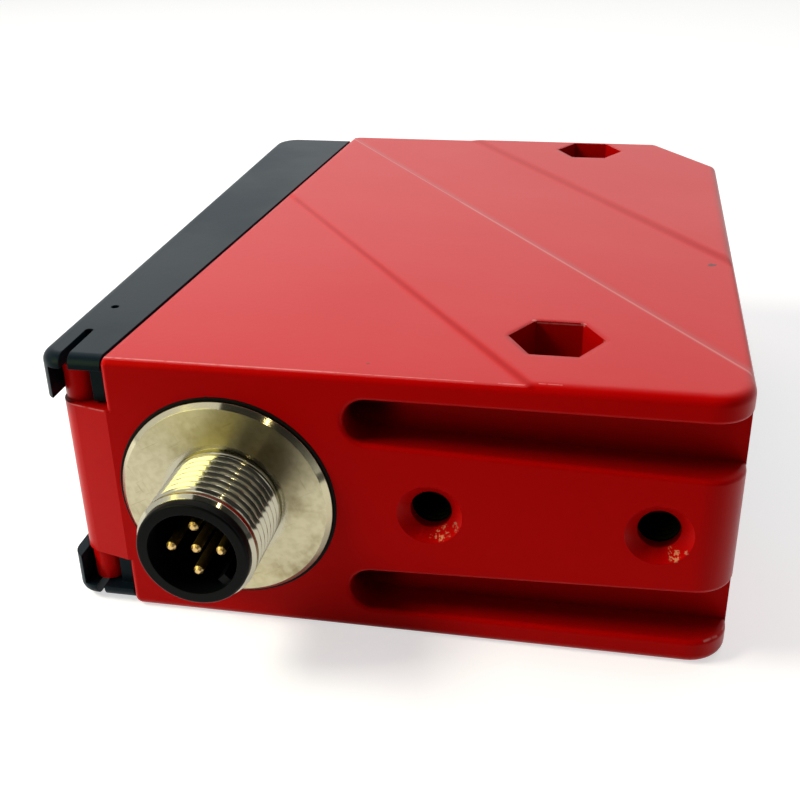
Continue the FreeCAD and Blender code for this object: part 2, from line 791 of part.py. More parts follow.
    # Raised slanted bands on both side faces: everything between them is cut one step down.
    bands = piece.sketch("bands", "XZ")
    bands.AttachmentOffset = Placement(Vector(0, 0, 0), Rotation(Vector(0, 1, 0), 90 - s.slant.value))
    bands.setExpression("AttachmentOffset.Rotation.Angle", f"90 - {s.slant.text}")
    reach = DEPTH + LENGTH
    for face, step, clear in ((WIDTH, WIDTH - s.band_step, WIDTH + s.wall),
                              (as_size(0), s.band_step, -s.wall)):
        trace(bands, [
            (-reach, clear), (-reach, step), (s.band_first - s.band_rise, step),
            (s.band_first, face), (s.band_first, clear),
        ])
        trace(bands, [
            (s.band_second, clear), (s.band_second, face), (s.band_second + s.band_slope, step),
            (s.band_third - s.band_slope, step), (s.band_third, face), (s.band_third, clear),
        ])
    piece.pocket("band_steps", bands, reach * 2, both=True)


def make_front_frame():
    """Plastic frame that hooks over the far end of the nose and snaps behind its pegs."""
    piece = Piece("front_frame")
    start, end = s.frame_start, LENGTH - s.frame_end
    outline = piece.sketch("outline", "XY", (0, 0, s.band_step))
    trace(outline, [(0, start), (frame_line(start), start), (frame_line(end), end), (0, end)])
    piece.pad("blank", outline, WIDTH - s.band_step * 2)
    piece.fillet("near_corner", s.frame_near_round, lambda edge: upright(edge, as_size(0), start))
    piece.fillet("far_corner", s.frame_far_round, lambda edge: upright(edge, as_size(0), end))
    faces = (s.band_step, WIDTH - s.band_step)
    piece.fillet("outer_edges", s.frame_round,
                 lambda edge: level(edge, *faces) and edge.BoundBox.XMin < s.frame_near.value - 0.5)
    inside = piece.sketch("inside", "XY", (0, 0, MID))
    rectangle(inside, s.frame_lip, start - s.frame_lip, s.frame_far + s.frame_lip, end - s.frame_end_wall)
    piece.pocket("channel", inside, WIDTH - (s.band_step + s.frame_flange) * 2, both=True)

    # Snap hooks behind the pegs, clear of the narrow nose between them
    hook_front = s.peg_from_front + s.peg_diameter / 2 + s.hook_gap
    hook_start = start + s.frame_round
    hook_far = hook_start + s.hook_length
    hooks = piece.sketch("hooks", "XY", (0, 0, MID))
    rectangle(hooks, hook_front, hook_start, hook_front + s.hook_thick, hook_far)
    piece.pad("hook_bar", hooks, WIDTH - (s.band_step + s.frame_flange) * 2, both=True)
    between = piece.sketch("between_hooks", "XY", (0, 0, MID))
    rectangle(between, s.peg_from_front, start - s.hook_gap, hook_front + s.hook_thick + s.hook_gap,
              hook_far + s.hook_gap)
    piece.pocket("hook_gap", between, s.nose_width + s.nose_gap * 2, both=True)

    # Slots that free the fingers, the end notch and the window
    slots = piece.sketch("slots", "XY", (0, 0, WIDTH))
    left, right = s.slot_from_front, s.slot_from_front + s.slot_width
    tip = start + s.slot_length - s.slot_width / 2
    trace(slots, [
        (left, start - s.slot_width), (right, start - s.slot_width),
        (right, tip, (left + right) / 2, tip, 1), (left, tip),
    ])
    piece.pocket("finger_slots", slots, WIDTH)
    notch = piece.sketch("notch", "YZ")
    half = s.nose_width / 2 + s.notch_clear
    rectangle(notch, start - s.frame_lip, MID - half, start + s.notch_depth, MID + half)
    piece.pocket("end_notch", notch, s.frame_near_round, back=True)
    window = piece.sketch("window", "YZ")
    cover = s.frame_cover
    rounded(window, SEAT_NEAR + cover, MID - SEAT_HALF + cover, SEAT_FAR - cover,
            MID + SEAT_HALF - cover, s.seat_round)
    piece.pocket("window_cut", window, s.frame_lip, back=True)
    mark = piece.sketch("gate_mark", "XY", (0, 0, WIDTH - s.band_step))
    circle(mark, s.gate_mark_from_front, start + s.gate_mark_from_end, s.gate_mark)
    piece.pocket("gate_mark_dimple", mark, s.gate_mark / 3)


def make_window():
    """Front glass and the seal it is pressed against."""
    glass = Piece("front_window")
    pane = glass.sketch("pane", "YZ", (0, 0, NOSE_FRONT))
    gap = s.fit_gap
    edges = (SEAT_NEAR + gap, MID - SEAT_HALF + gap, SEAT_FAR - gap, MID + SEAT_HALF - gap)
    rounded(pane, *edges, s.seat_round - gap)
    glass.pad("glass", pane, s.glass_thick)
    seal = Piece("window_seal")
    ring = seal.sketch("ring", "YZ", (0, 0, NOSE_FRONT + s.glass_thick))
    rounded(ring, *edges, s.seat_round - gap)
    rectangle(ring, TUNNEL_NEAR, MID - TUNNEL_HALF, TUNNEL_FAR, MID + TUNNEL_HALF)
    seal.pad("gasket", ring, s.seal_thick)


def make_connector():
    """Plug connector: shell, insert, pins, seal, nut, board and ribbon on one axis along Y."""
    place = (s.plug_from_front, 0, MID)
    thread, flange = s.plug_thread / 2, s.plug_flange / 2
    bore, spigot = s.plug_bore / 2, s.plug_spigot / 2
    shell = Piece("connector_shell", place)
    profile = shell.sketch("half", "XY")
    trace(profile, [
        (bore, -s.plug_length), (thread - s.plug_tip_chamfer, -s.plug_length),
        (thread, -s.plug_length + s.plug_tip_chamfer), (thread, -s.plug_flange_rise),
        (flange - s.plug_flange_chamfer, -s.plug_flange_rise),
        (flange, -s.plug_flange_rise + s.plug_flange_chamfer), (flange, s.plug_flange_sink),
        (spigot, s.plug_flange_sink), (spigot, s.plug_tail), (bore, s.plug_tail),
    ])
    shell.revolve("turned", profile, "V")

    insert = Piece("connector_insert", place)
    profile = insert.sketch("half", "XY")
    tip = -s.plug_length - s.insert_rise
    body = bore - s.pin_clear
    cavity, rim = s.insert_cavity / 2, s.insert_rim / 2
    trace(profile, [
        (0, -s.insert_floor), (cavity, -s.insert_floor), (cavity, tip),
        (rim - s.insert_round, tip, rim - s.insert_round, tip + s.insert_round, 1),
        (rim, tip + s.insert_round), (rim, -s.plug_length),
        (body, -s.plug_length), (body, s.plug_tail), (0, s.plug_tail),
    ])
    insert.revolve("moulded", profile, "V")
    key = insert.sketch("key", "XZ", (0, 0, s.insert_floor))
    half = s.insert_key_width / 2 / math.sqrt(2)
    outer = (cavity + s.pin_clear) / math.sqrt(2)
    inner = outer - s.insert_key_height / math.sqrt(2)
    trace(key, [
        (inner - half, -inner - half), (outer - half, -outer - half),
        (outer + half, -outer + half), (inner + half, -inner + half),
    ])
    insert.pad("key_rib", key, -tip - s.insert_floor - s.insert_key_sink)
    holes = insert.sketch("pin_holes", "XZ", (0, 0, -s.plug_tail))
    for x, z in PIN_SPOTS:
        circle(holes, x, z, s.pin_diameter + s.pin_clear * 2)
    insert.pocket("pin_bores", holes, s.plug_tail + s.insert_floor, back=True)

    pin_start = tip + s.pin_sink
    pin_end = s.plug_tail + s.plug_board_thick + s.pin_tail
    for number, (x, z) in enumerate(PIN_SPOTS, start=1):
        pin = Piece(f"contact_pin_{number}", (s.plug_from_front + x, 0, MID + z))
        profile = pin.sketch("half", "XY")
        radius = s.pin_diameter / 2
        trace(profile, [
            (0, pin_start), (radius - s.pin_tip, pin_start), (radius, pin_start + s.pin_tip),
            (radius, pin_end), (0, pin_end),
        ])
        pin.revolve("turned", profile, "V")

    seal = Piece("connector_seal", place)
    profile = seal.sketch("half", "XY")
    rectangle(profile, spigot + s.fit_gap, s.plug_flange_sink, flange, s.plug_flange_sink + s.plug_seal)
    seal.revolve("ring", profile, "V")

    nut = Piece("connector_nut", place)
    profile = nut.sketch("hexagon", "XZ", (0, 0, -s.plug_wall))
    hexagon_on_corner(profile, s.plug_nut_flats)
    circle(profile, 0, 0, s.plug_spigot + s.fit_gap * 2)
    nut.pad("nut_block", profile, s.plug_nut_thick, back=True)

    board = Piece("connector_board", place)
    profile = board.sketch("disc", "XZ", (0, 0, -s.plug_tail))
    circle(profile, 0, 0, s.plug_board)
    for x, z in PIN_SPOTS:
        circle(profile, x, z, s.pin_diameter + s.pin_clear * 2)
    board.pad("round_board", profile, s.plug_board_thick, back=True)

    # The ribbon hangs on the round board, turns once and lies on the main board.
    ribbon = Piece("connector_ribbon", (s.plug_from_front - s.ribbon_width / 2, 0, 0))
    profile = ribbon.sketch("side", "YZ")
    hang = s.plug_tail + s.plug_board_thick
    thick = s.ribbon_thick
    turn = thick * 4
    high = MID - s.ribbon_top
    trace(profile, [
        (hang, high), (hang, BOARD_TOP + turn, hang + turn, BOARD_TOP + turn, 1),
        (hang + turn, BOARD_TOP), (BOARD_NEAR + s.ribbon_lap, BOARD_TOP),
        (BOARD_NEAR + s.ribbon_lap, BOARD_TOP + thick),
        (hang + turn, BOARD_TOP + thick, hang + turn, BOARD_TOP + turn, -1),
        (hang + thick, BOARD_TOP + turn), (hang + thick, high),
    ])
    ribbon.pad("strip", profile, s.ribbon_width)


def make_optics_carrier():
    """Moulded carrier: front plate, light box behind the receiver lens and the laser's tube."""
    piece = Piece("optics_carrier")
    gap = s.carrier_gap
    plate = piece.sketch("plate", "YZ", (0, 0, CARRIER_X))
    rectangle(plate, TUNNEL_NEAR + gap, MID - TUNNEL_HALF + gap, TUNNEL_FAR - gap, MID + TUNNEL_HALF - gap)
    piece.pad("front_plate", plate, s.carrier_thick)
    box_end = s.detector_place
    box = piece.sketch("box", "YZ", (0, 0, CARRIER_BACK))
    half, tall = s.box_width / 2, MID - BOARD_TOP - s.box_board_gap
    rectangle(box, RECEIVER_Y - half, MID - tall, RECEIVER_Y + half, MID + tall)
    piece.pad("light_box", box, box_end - CARRIER_BACK)
    ears = piece.sketch("ears", "YZ", (0, 0, box_end))
    reach = SCREW_REACH + s.ear_margin
    rectangle(ears, RECEIVER_Y - reach, MID - s.ear_height / 2,
              RECEIVER_Y + reach, MID + s.ear_height / 2)
    piece.pad("screw_ears", ears, s.ear_thick, back=True)
    core = piece.sketch("core", "YZ", (0, 0, box_end))
    inside, clear = half - s.box_wall, tall - s.box_wall
    rectangle(core, RECEIVER_Y - inside, MID - clear, RECEIVER_Y + inside, MID + clear)
    piece.pocket("light_path", core, box_end - CARRIER_BACK)
    aperture = piece.sketch("aperture", "YZ", (0, 0, CARRIER_X))
    circle(aperture, RECEIVER_Y, MID, LENS_DIAMETER - s.lens_lip * 2)
    piece.pocket("aperture_cut", aperture, s.carrier_thick, back=True)
    seat = piece.sketch("lens_seat", "YZ", (0, 0, CARRIER_X))
    circle(seat, RECEIVER_Y, MID, LENS_DIAMETER + s.fit_gap * 2)
    piece.pocket("lens_bore", seat, s.carrier_thick - s.lens_seat, back=True)
    tube = piece.sketch("tube", "YZ", (0, 0, CARRIER_BACK))
    circle(tube, TRANSMITTER_Y, MID, s.tube_outer)
    piece.pad("laser_tube", tube, s.tube_length)
    barrel = piece.sketch("barrel_seat", "YZ", (0, 0, CARRIER_X))
    circle(barrel, TRANSMITTER_Y, MID, s.barrel_diameter + s.fit_gap * 2)
    piece.pocket("barrel_bore", barrel, s.carrier_thick + s.tube_length, back=True)
    screws = piece.sketch("screw_holes", "YZ", (0, 0, CARRIER_X))
    heads = piece.sketch("screw_heads", "YZ", (0, 0, CARRIER_X))
    for y, z in CARRIER_SCREWS:
        circle(screws, y, z, s.screw_pass)
        circle(heads, y, z, s.screw_head + gap)
    piece.pocket("screw_bores", screws, s.carrier_thick, back=True)
    piece.pocket("head_bores", heads, s.carrier_thick - s.board_thick, back=True)
    bites = piece.sketch("ear_holes", "YZ", (0, 0, box_end))
    for y, z in DETECTOR_SCREWS:
        circle(bites, y, z, s.screw_bite)
    piece.pocket("ear_bores", bites, s.ear_thick)
    fixings = Piece("carrier_screws")
    for number, (y, z) in enumerate(CARRIER_SCREWS, start=1):
        spot = (CARRIER_BACK - s.board_thick, y, z)
        screw_along_x(fixings, f"screw_{number}", spot, 1, s.screw_length + s.board_thick - gap, s.screw_head)


def dome(sketch, back, radius, edge, rise):
    """Draws half of a plano-convex lens whose flat face is at back."""
    front = back - edge - rise
    sphere = (radius * radius + rise * rise) / (rise * 2)
    trace(sketch, [
        (front, 0, front + sphere, 0, -1), (back - edge, radius), (back, radius), (back, 0),
    ])


def make_receiver():
    """Receiver lens with its ring, detector and detector board."""
    lens = Piece("receiver_lens", (LENS_BACK, RECEIVER_Y, MID))
    profile = lens.sketch("half", "XY")
    dome(profile, as_size(0), LENS_DIAMETER / 2, s.lens_edge, s.lens_dome)
    lens.revolve("ground", profile, "H")
    ring = Piece("receiver_ring", (LENS_BACK, RECEIVER_Y, MID))
    profile = ring.sketch("half", "XY")
    back = -s.lens_edge - s.lens_ring_gap
    rectangle(profile, back - s.lens_ring_length, LENS_DIAMETER / 2 - s.lens_ring_wall,
              back, LENS_DIAMETER / 2)
    ring.revolve("turned", profile, "H")

    board = Piece("detector_board")
    plan = board.sketch("plan", "YZ", (0, 0, s.detector_place))
    half = s.detector_board_width / 2
    rectangle(plan, RECEIVER_Y - half, BOARD_TOP, RECEIVER_Y + half, MID + s.detector_board_rise)
    for y, z in DETECTOR_SCREWS:
        circle(plan, y, z, s.screw_pass)
    board.pad("laminate", plan, s.small_board)
    chip = Piece("line_detector")
    plan = chip.sketch("plan", "YZ", (0, 0, s.detector_place))
    rectangle(plan, RECEIVER_Y - s.detector_length / 2, MID - s.detector_height / 2,
              RECEIVER_Y + s.detector_length / 2, MID + s.detector_height / 2)
    chip.pad("package", plan, s.detector_thick, back=True)
    screws = Piece("detector_screws")
    for number, (y, z) in enumerate(DETECTOR_SCREWS, start=1):
        spot = (s.detector_place + s.small_board, y, z)
        screw_along_x(screws, f"screw_{number}", spot, -1, s.screw_length, s.screw_head)


def make_transmitter():
    """Laser barrel with its lens, ring, diode and board on one axis along X."""
    place = (BARREL_X, TRANSMITTER_Y, MID)
    barrel = Piece("transmitter_barrel", place)
    profile = barrel.sketch("half", "XY")
    lens_bore, light, diode = s.barrel_lens_bore / 2, s.barrel_light_bore / 2, s.barrel_diode_bore / 2
    end = s.barrel_length
    step = end - s.barrel_diode_depth
    trace(profile, [
        (0, lens_bore), (0, s.barrel_diameter / 2), (end, s.barrel_diameter / 2), (end, diode),
        (step, diode), (step, light), (s.barrel_lens_depth, light), (s.barrel_lens_depth, lens_bore),
    ])
    barrel.revolve("turned", profile, "H")
    lens_radius = lens_bore - s.fit_gap
    lens = Piece("transmitter_lens", place)
    profile = lens.sketch("half", "XY")
    dome(profile, s.barrel_lens_depth, lens_radius, s.emitter_lens_edge, s.emitter_lens_dome)
    lens.revolve("ground", profile, "H")
    ring = Piece("transmitter_ring", place)
    profile = ring.sketch("half", "XY")
    back = s.barrel_lens_depth - s.emitter_lens_edge - s.emitter_ring_gap
    rectangle(profile, back - s.emitter_ring_length, lens_radius - s.emitter_ring_wall, back, lens_radius)
    ring.revolve("turned", profile, "H")

    emitter = Piece("laser_diode", place)
    profile = emitter.sketch("half", "XY")
    base = end - s.diode_sink
    can, rim = s.diode_can_diameter / 2, diode - s.fit_gap
    trace(profile, [
        (base - s.diode_flange - s.diode_can, 0), (base - s.diode_flange - s.diode_can, can),
        (base - s.diode_flange, can), (base - s.diode_flange, rim), (base, rim), (base, 0),
    ])
    emitter.revolve("can", profile, "H")
    leads = emitter.sketch("leads", "YZ", (0, 0, base))
    lead_spots = [(s.lead_circle / 2, as_size(0)), (-s.lead_circle / 2, as_size(0)),
                  (as_size(0), s.lead_circle / 2)]
    for y, z in lead_spots:
        circle(leads, y, z, s.lead_diameter)
    emitter.pad("lead_wires", leads, s.lead_length)

    board = Piece("laser_board", place)
    plan = board.sketch("plan", "YZ", (0, 0, end + s.laser_board_gap))
    rectangle(plan, -s.laser_board_width / 2, BOARD_TOP - MID, s.laser_board_width / 2, s.laser_board_rise)
    for y, z in lead_spots:
        circle(plan, y, z, s.lead_diameter + s.fit_gap * 2)
    board.pad("laminate", plan, s.small_board)


def make_main_board():
    """Main board on its posts, with the parts that stand tallest on it."""
    board = Piece("main_board")
    plan = board.sketch("plan", "XY", (0, 0, BOARD_Z))
    rectangle(plan, BOARD_FRONT, BOARD_NEAR, BOARD_REAR, BOARD_FAR)
    for x, y in BOARD_SCREWS:
        circle(plan, x, y, s.screw_pass)
    board.pad("laminate", plan, s.board_thick)
    screws = Piece("board_screws")
    for number, (x, y) in enumerate(BOARD_SCREWS, start=1):
        profile = screws.sketch(f"half_{number}", "XZ", (x, BOARD_TOP, -y))
        core, head = s.screw_core / 2, s.screw_head / 2
        trace(profile, [
            (0, -s.screw_length), (core, -s.screw_length), (core, 0), (head, 0),
            (head, s.screw_head_height), (0, s.screw_head_height),
        ])
        screws.revolve(f"screw_{number}", profile, "V")
    middle = (BOARD_NEAR + BOARD_FAR) / 2
    chip = Piece("processor")
    plan = chip.sketch("plan", "XY", (0, 0, BOARD_TOP))
    x = BOARD_REAR - s.chip_from_rear
    y = BOARD_FAR - s.chip_from_far
    half = s.chip_size / 2
    rectangle(plan, x - half, y - half, x + half, y + half)
    chip.pad("package", plan, s.chip_thick)
    coil = Piece("power_inductor")
    plan = coil.sketch("plan", "XY", (0, 0, BOARD_TOP))
    x = BOARD_FRONT + s.coil_from_front
    half = s.coil_size / 2
    y = RECEIVER_Y + s.box_width / 2 + s.coil_gap + half
    rectangle(plan, x - half, y - half, x + half, y + half)
    coil.pad("package", plan, s.coil_thick)
    can = Piece("filter_capacitor")
    plan = can.sketch("plan", "XY", (0, 0, BOARD_TOP))
    circle(plan, BOARD_REAR - s.can_from_rear, BOARD_NEAR + s.can_from_near, s.can_diameter)
    can.pad("can", plan, s.can_height)
    link = Piece("board_link")
    plan = link.sketch("plan", "XY", (0, 0, BOARD_TOP))
    wall_side = PANEL_BOARD_X - s.small_board
    rectangle(plan, wall_side - s.link_depth, middle - s.link_width / 2, wall_side, middle + s.link_width / 2)
    link.pad("header", plan, s.link_height)


def make_panel():
    """Rear control panel with its seal, screws, display, lamps, keys and their board."""
    piece = Piece("control_panel")
    plate = piece.sketch("plate", "YZ", (0, 0, PANEL_IN))
    rounded(plate, PANEL_NEAR, MID - PANEL_HALF, PANEL_FAR, MID + PANEL_HALF, s.panel_round)
    piece.pad("cover", plate, s.panel_thick)
    stands = piece.sketch("stands", "YZ", (0, 0, PANEL_IN))
    for y, z in STAND_SPOTS:
        circle(stands, y, z, s.stand_diameter)
    piece.pad("stand_posts", stands, STAND, back=True)
    bites = piece.sketch("stand_holes", "YZ", (0, 0, PANEL_BOARD_X))
    for y, z in STAND_SPOTS:
        circle(bites, y, z, s.screw_bite)
    piece.pocket("stand_bores", bites, STAND, back=True)
    display_far = OPEN_FAR - s.display_from_end
    display_near = display_far - s.display_length
    tall = s.display_height / 2
    face = piece.sketch("face_holes", "YZ", (0, 0, PANEL_IN + s.panel_thick))
    gap = s.fit_gap
    rectangle(face, display_near - gap, MID - tall - gap, display_far + gap, MID + tall + gap)
    for y in KEY_SPOTS.values():
        circle(face, y, MID, s.key_diameter + s.key_gap * 2)
    for y, z in GUIDE_SPOTS:
        circle(face, y, z, s.guide_diameter + gap * 2)
    for y, z in PANEL_SCREWS:
        circle(face, y, z, s.screw_pass)
    piece.pocket("face_cut", face, s.panel_thick)
    sinks = piece.sketch("screw_sinks", "YZ", (0, 0, PANEL_IN + s.panel_thick))
    for y, z in PANEL_SCREWS:
        circle(sinks, y, z, s.panel_screw_head + gap * 2)
    piece.pocket("sink_cut", sinks, s.screw_head_height - s.carrier_gap)

    seal = Piece("panel_seal")
    ring = seal.sketch("ring", "YZ", (0, 0, LEDGE_X))
    rounded(ring, PANEL_NEAR, MID - PANEL_HALF, PANEL_FAR, MID + PANEL_HALF, s.panel_round)
    rectangle(ring, OPEN_NEAR, MID - OPEN_HALF, OPEN_FAR, MID + OPEN_HALF)
    for y, z in PANEL_SCREWS:
        circle(ring, y, z, s.screw_pass)
    seal.pad("gasket", ring, s.panel_seal)
    screws = Piece("panel_screws")
    sink = s.screw_head_height - s.carrier_gap
    for number, (y, z) in enumerate(PANEL_SCREWS, start=1):
        spot = (PANEL_IN + s.panel_thick - sink, y, z)
        profile = screws.sketch(f"half_{number}", "XY", spot)
        core, head = s.screw_core / 2, s.panel_screw_head / 2
        trace(profile, [
            (-s.screw_length, 0), (-s.screw_length, core), (0, core), (0, head), (sink, head), (sink, 0),
        ])
        screws.revolve(f"screw_{number}", profile, "H")
    sockets = screws.sketch("sockets", "YZ", (0, 0, PANEL_IN + s.panel_thick))
    for y, z in PANEL_SCREWS:
        hexagon(sockets, y, z, s.socket_flats)
    screws.pocket("socket_cut", sockets, s.socket_depth)

    pane = Piece("display_window")
    edge = s.display_frame
    frame = pane.sketch("frame", "YZ", (0, 0, PANEL_IN))
    rectangle(frame, display_near - edge, MID - tall - edge, display_far + edge, MID + tall + edge)
    pane.pad("flange", frame, s.display_frame_thick, back=True)
    front = pane.sketch("front", "YZ", (0, 0, PANEL_IN))
    rectangle(front, display_near, MID - tall, display_far, MID + tall)
    pane.pad("pane", front, s.panel_thick)
    module = Piece("display_module")
    plan = module.sketch("plan", "YZ", (0, 0, PANEL_BOARD_X))
    rectangle(plan, display_near, MID - tall, display_far, MID + tall)
    module.pad("package", plan, STAND - s.display_frame_thick - gap)

    board = Piece("panel_board")
    plan = board.sketch("plan", "YZ", (0, 0, PANEL_BOARD_X))
    inset = s.panel_board_gap
    rectangle(plan, OPEN_NEAR + inset, MID - OPEN_HALF + inset, OPEN_FAR - inset, MID + OPEN_HALF - inset)
    for y, z in STAND_SPOTS:
        circle(plan, y, z, s.screw_pass)
    board.pad("laminate", plan, s.small_board, back=True)
    screws = Piece("panel_board_screws")
    for number, (y, z) in enumerate(STAND_SPOTS, start=1):
        spot = (PANEL_BOARD_X - s.small_board, y, z)
        screw_along_x(screws, f"screw_{number}", spot, 1, s.screw_length, s.screw_head)

    for number, (y, z) in enumerate(GUIDE_SPOTS, start=1):
        lamp = Piece(f"status_lamp_{number}")
        plan = lamp.sketch("plan", "YZ", (0, 0, PANEL_BOARD_X))
        half = s.lamp_size / 2
        rectangle(plan, y - half, z - half, y + half, z + half)
        lamp.pad("package", plan, s.lamp_height)
        guide = Piece(f"status_guide_{number}", (PANEL_IN, y, z))
        profile = guide.sketch("half", "XY")
        radius, collar = s.guide_diameter / 2, s.guide_collar / 2
        foot = -STAND + s.lamp_height + s.lamp_gap
        trace(profile, [
            (foot, 0), (foot, radius), (-s.guide_collar_thick, radius), (-s.guide_collar_thick, collar),
            (0, collar), (0, radius), (s.panel_thick, radius), (s.panel_thick, 0),
        ])
        guide.revolve("moulded", profile, "H")


def make_key(name, y):
    """One push key with the plunger it rests on and its switch; the axis runs along X."""
    place = (PANEL_IN, y, MID)
    key = Piece(name + "_key", place)
    profile = key.sketch("half", "XY")
    foot = -(s.key_gap + s.key_flange_thick + s.key_stem)
    shoulder = foot + s.key_stem
    top = s.panel_thick + s.key_rise
    cap, flange = s.key_diameter / 2, s.key_diameter / 2 + s.key_flange
    stem = s.key_stem_diameter / 2
    trace(profile, [
        (foot, 0), (foot, stem), (shoulder, stem), (shoulder, flange), (-s.key_gap, flange),
        (-s.key_gap, cap), (top - s.key_round, cap, top - s.key_round, cap - s.key_round, -1),
        (top, cap - s.key_round), (top, 0),
    ])
    key.revolve("moulded", profile, "H")
    plunger = Piece(name + "_plunger", place)
    profile = plunger.sketch("half", "XY")
    radius = s.plunger_diameter / 2
    rectangle(profile, foot - s.plunger_rise - s.plunger_sink, 0, foot, radius)
    plunger.revolve("turned", profile, "H")
    switch = Piece(name + "_switch", place)
    plan = switch.sketch("plan", "YZ", (0, 0, -STAND))
    half = s.switch_size / 2
    rectangle(plan, -half, -half, half, half)
    switch.pad("package", plan, s.switch_height)
    hole = switch.sketch("hole", "YZ", (0, 0, -STAND + s.switch_height))
    circle(hole, 0, 0, s.plunger_diameter + s.key_gap * 2)
    switch.pocket("plunger_bore", hole, s.switch_bore_depth)


def write_parts():
    """Checks every object of the document and writes one file for each sub-part."""
    for item in doc.Objects:
        if "Invalid" in item.State or "Error" in item.State:
            raise RuntimeError(f"failed object: {item.Label} {item.State}")
    for body in Piece.made:
        if body.Shape.isNull() or not body.Shape.isValid() or not body.Shape.Solids:
            raise RuntimeError("bad shape: " + body.Label)
    os.makedirs("parts", exist_ok=True)
    for body in Piece.made:
        body.Shape.exportStep(f"parts/{body.Label}.step")


make_housing()
make_front_frame()
make_window()
make_connector()
make_optics_carrier()
make_receiver()
make_transmitter()
make_main_board()
make_panel()
for key_name, key_place in KEY_SPOTS.items():
    make_key(key_name, key_place)
doc.recompute()
write_parts()
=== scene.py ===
"""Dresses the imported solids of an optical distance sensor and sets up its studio."""
import json
import logging
import math
from dataclasses import dataclass
from enum import Enum

import bpy
from mathutils import Matrix, Vector


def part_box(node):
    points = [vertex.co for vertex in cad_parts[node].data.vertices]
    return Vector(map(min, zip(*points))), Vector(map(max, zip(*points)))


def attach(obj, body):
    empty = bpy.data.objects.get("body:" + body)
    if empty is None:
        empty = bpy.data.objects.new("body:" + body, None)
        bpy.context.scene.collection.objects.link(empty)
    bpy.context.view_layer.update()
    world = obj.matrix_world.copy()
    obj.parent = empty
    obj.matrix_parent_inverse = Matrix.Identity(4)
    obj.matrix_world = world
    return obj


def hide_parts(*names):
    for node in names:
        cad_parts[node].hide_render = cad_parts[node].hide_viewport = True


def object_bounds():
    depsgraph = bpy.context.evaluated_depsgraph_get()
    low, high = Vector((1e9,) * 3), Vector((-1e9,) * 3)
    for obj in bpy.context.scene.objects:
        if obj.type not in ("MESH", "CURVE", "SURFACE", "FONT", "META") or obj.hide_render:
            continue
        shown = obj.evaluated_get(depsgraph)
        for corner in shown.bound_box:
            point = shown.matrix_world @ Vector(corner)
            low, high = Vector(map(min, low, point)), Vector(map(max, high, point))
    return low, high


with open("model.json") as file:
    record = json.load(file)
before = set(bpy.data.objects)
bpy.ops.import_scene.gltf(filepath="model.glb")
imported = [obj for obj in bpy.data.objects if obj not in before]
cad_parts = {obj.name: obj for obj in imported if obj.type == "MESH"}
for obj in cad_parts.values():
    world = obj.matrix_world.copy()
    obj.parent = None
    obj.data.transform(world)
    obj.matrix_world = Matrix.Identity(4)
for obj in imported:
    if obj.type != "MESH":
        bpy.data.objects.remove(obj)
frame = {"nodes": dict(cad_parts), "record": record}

Colour = tuple[float, float, float, float]
Point = tuple[float, float, float]
Span = tuple[float, float]
Node = bpy.types.Node
Socket = bpy.types.NodeSocket
Sockets = bpy.types.NodeOutputs
Results = dict[str, Socket]
Wire = Socket | float | tuple | Vector
Wires = dict[str | int, Wire]

LOG = logging.getLogger("distance_sensor")
MM = 0.001
ROOT_BODY = "sensor"
CAD_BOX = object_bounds()


def rgb(red: float, green: float, blue: float) -> Colour:
    """Gives a linear colour its alpha of one."""
    return (red, green, blue, 1.0)


WHITE = rgb(1.0, 1.0, 1.0)
WORN_METAL = rgb(0.9, 0.88, 0.82)
ACROSS_Y = (1.0, 0.0, 1.0)
BEVEL_SAMPLES = 4
RECESS_SAMPLES = 8
NOISE_MIDDLE = 0.5
SHARP_ANGLE = math.radians(32.0)

# A mix node's sockets share their names, so its colours are found by their places.
MIX_FACTOR = 0
MIX_FIRST = 6
MIX_SECOND = 7
MIX_RESULT = 2


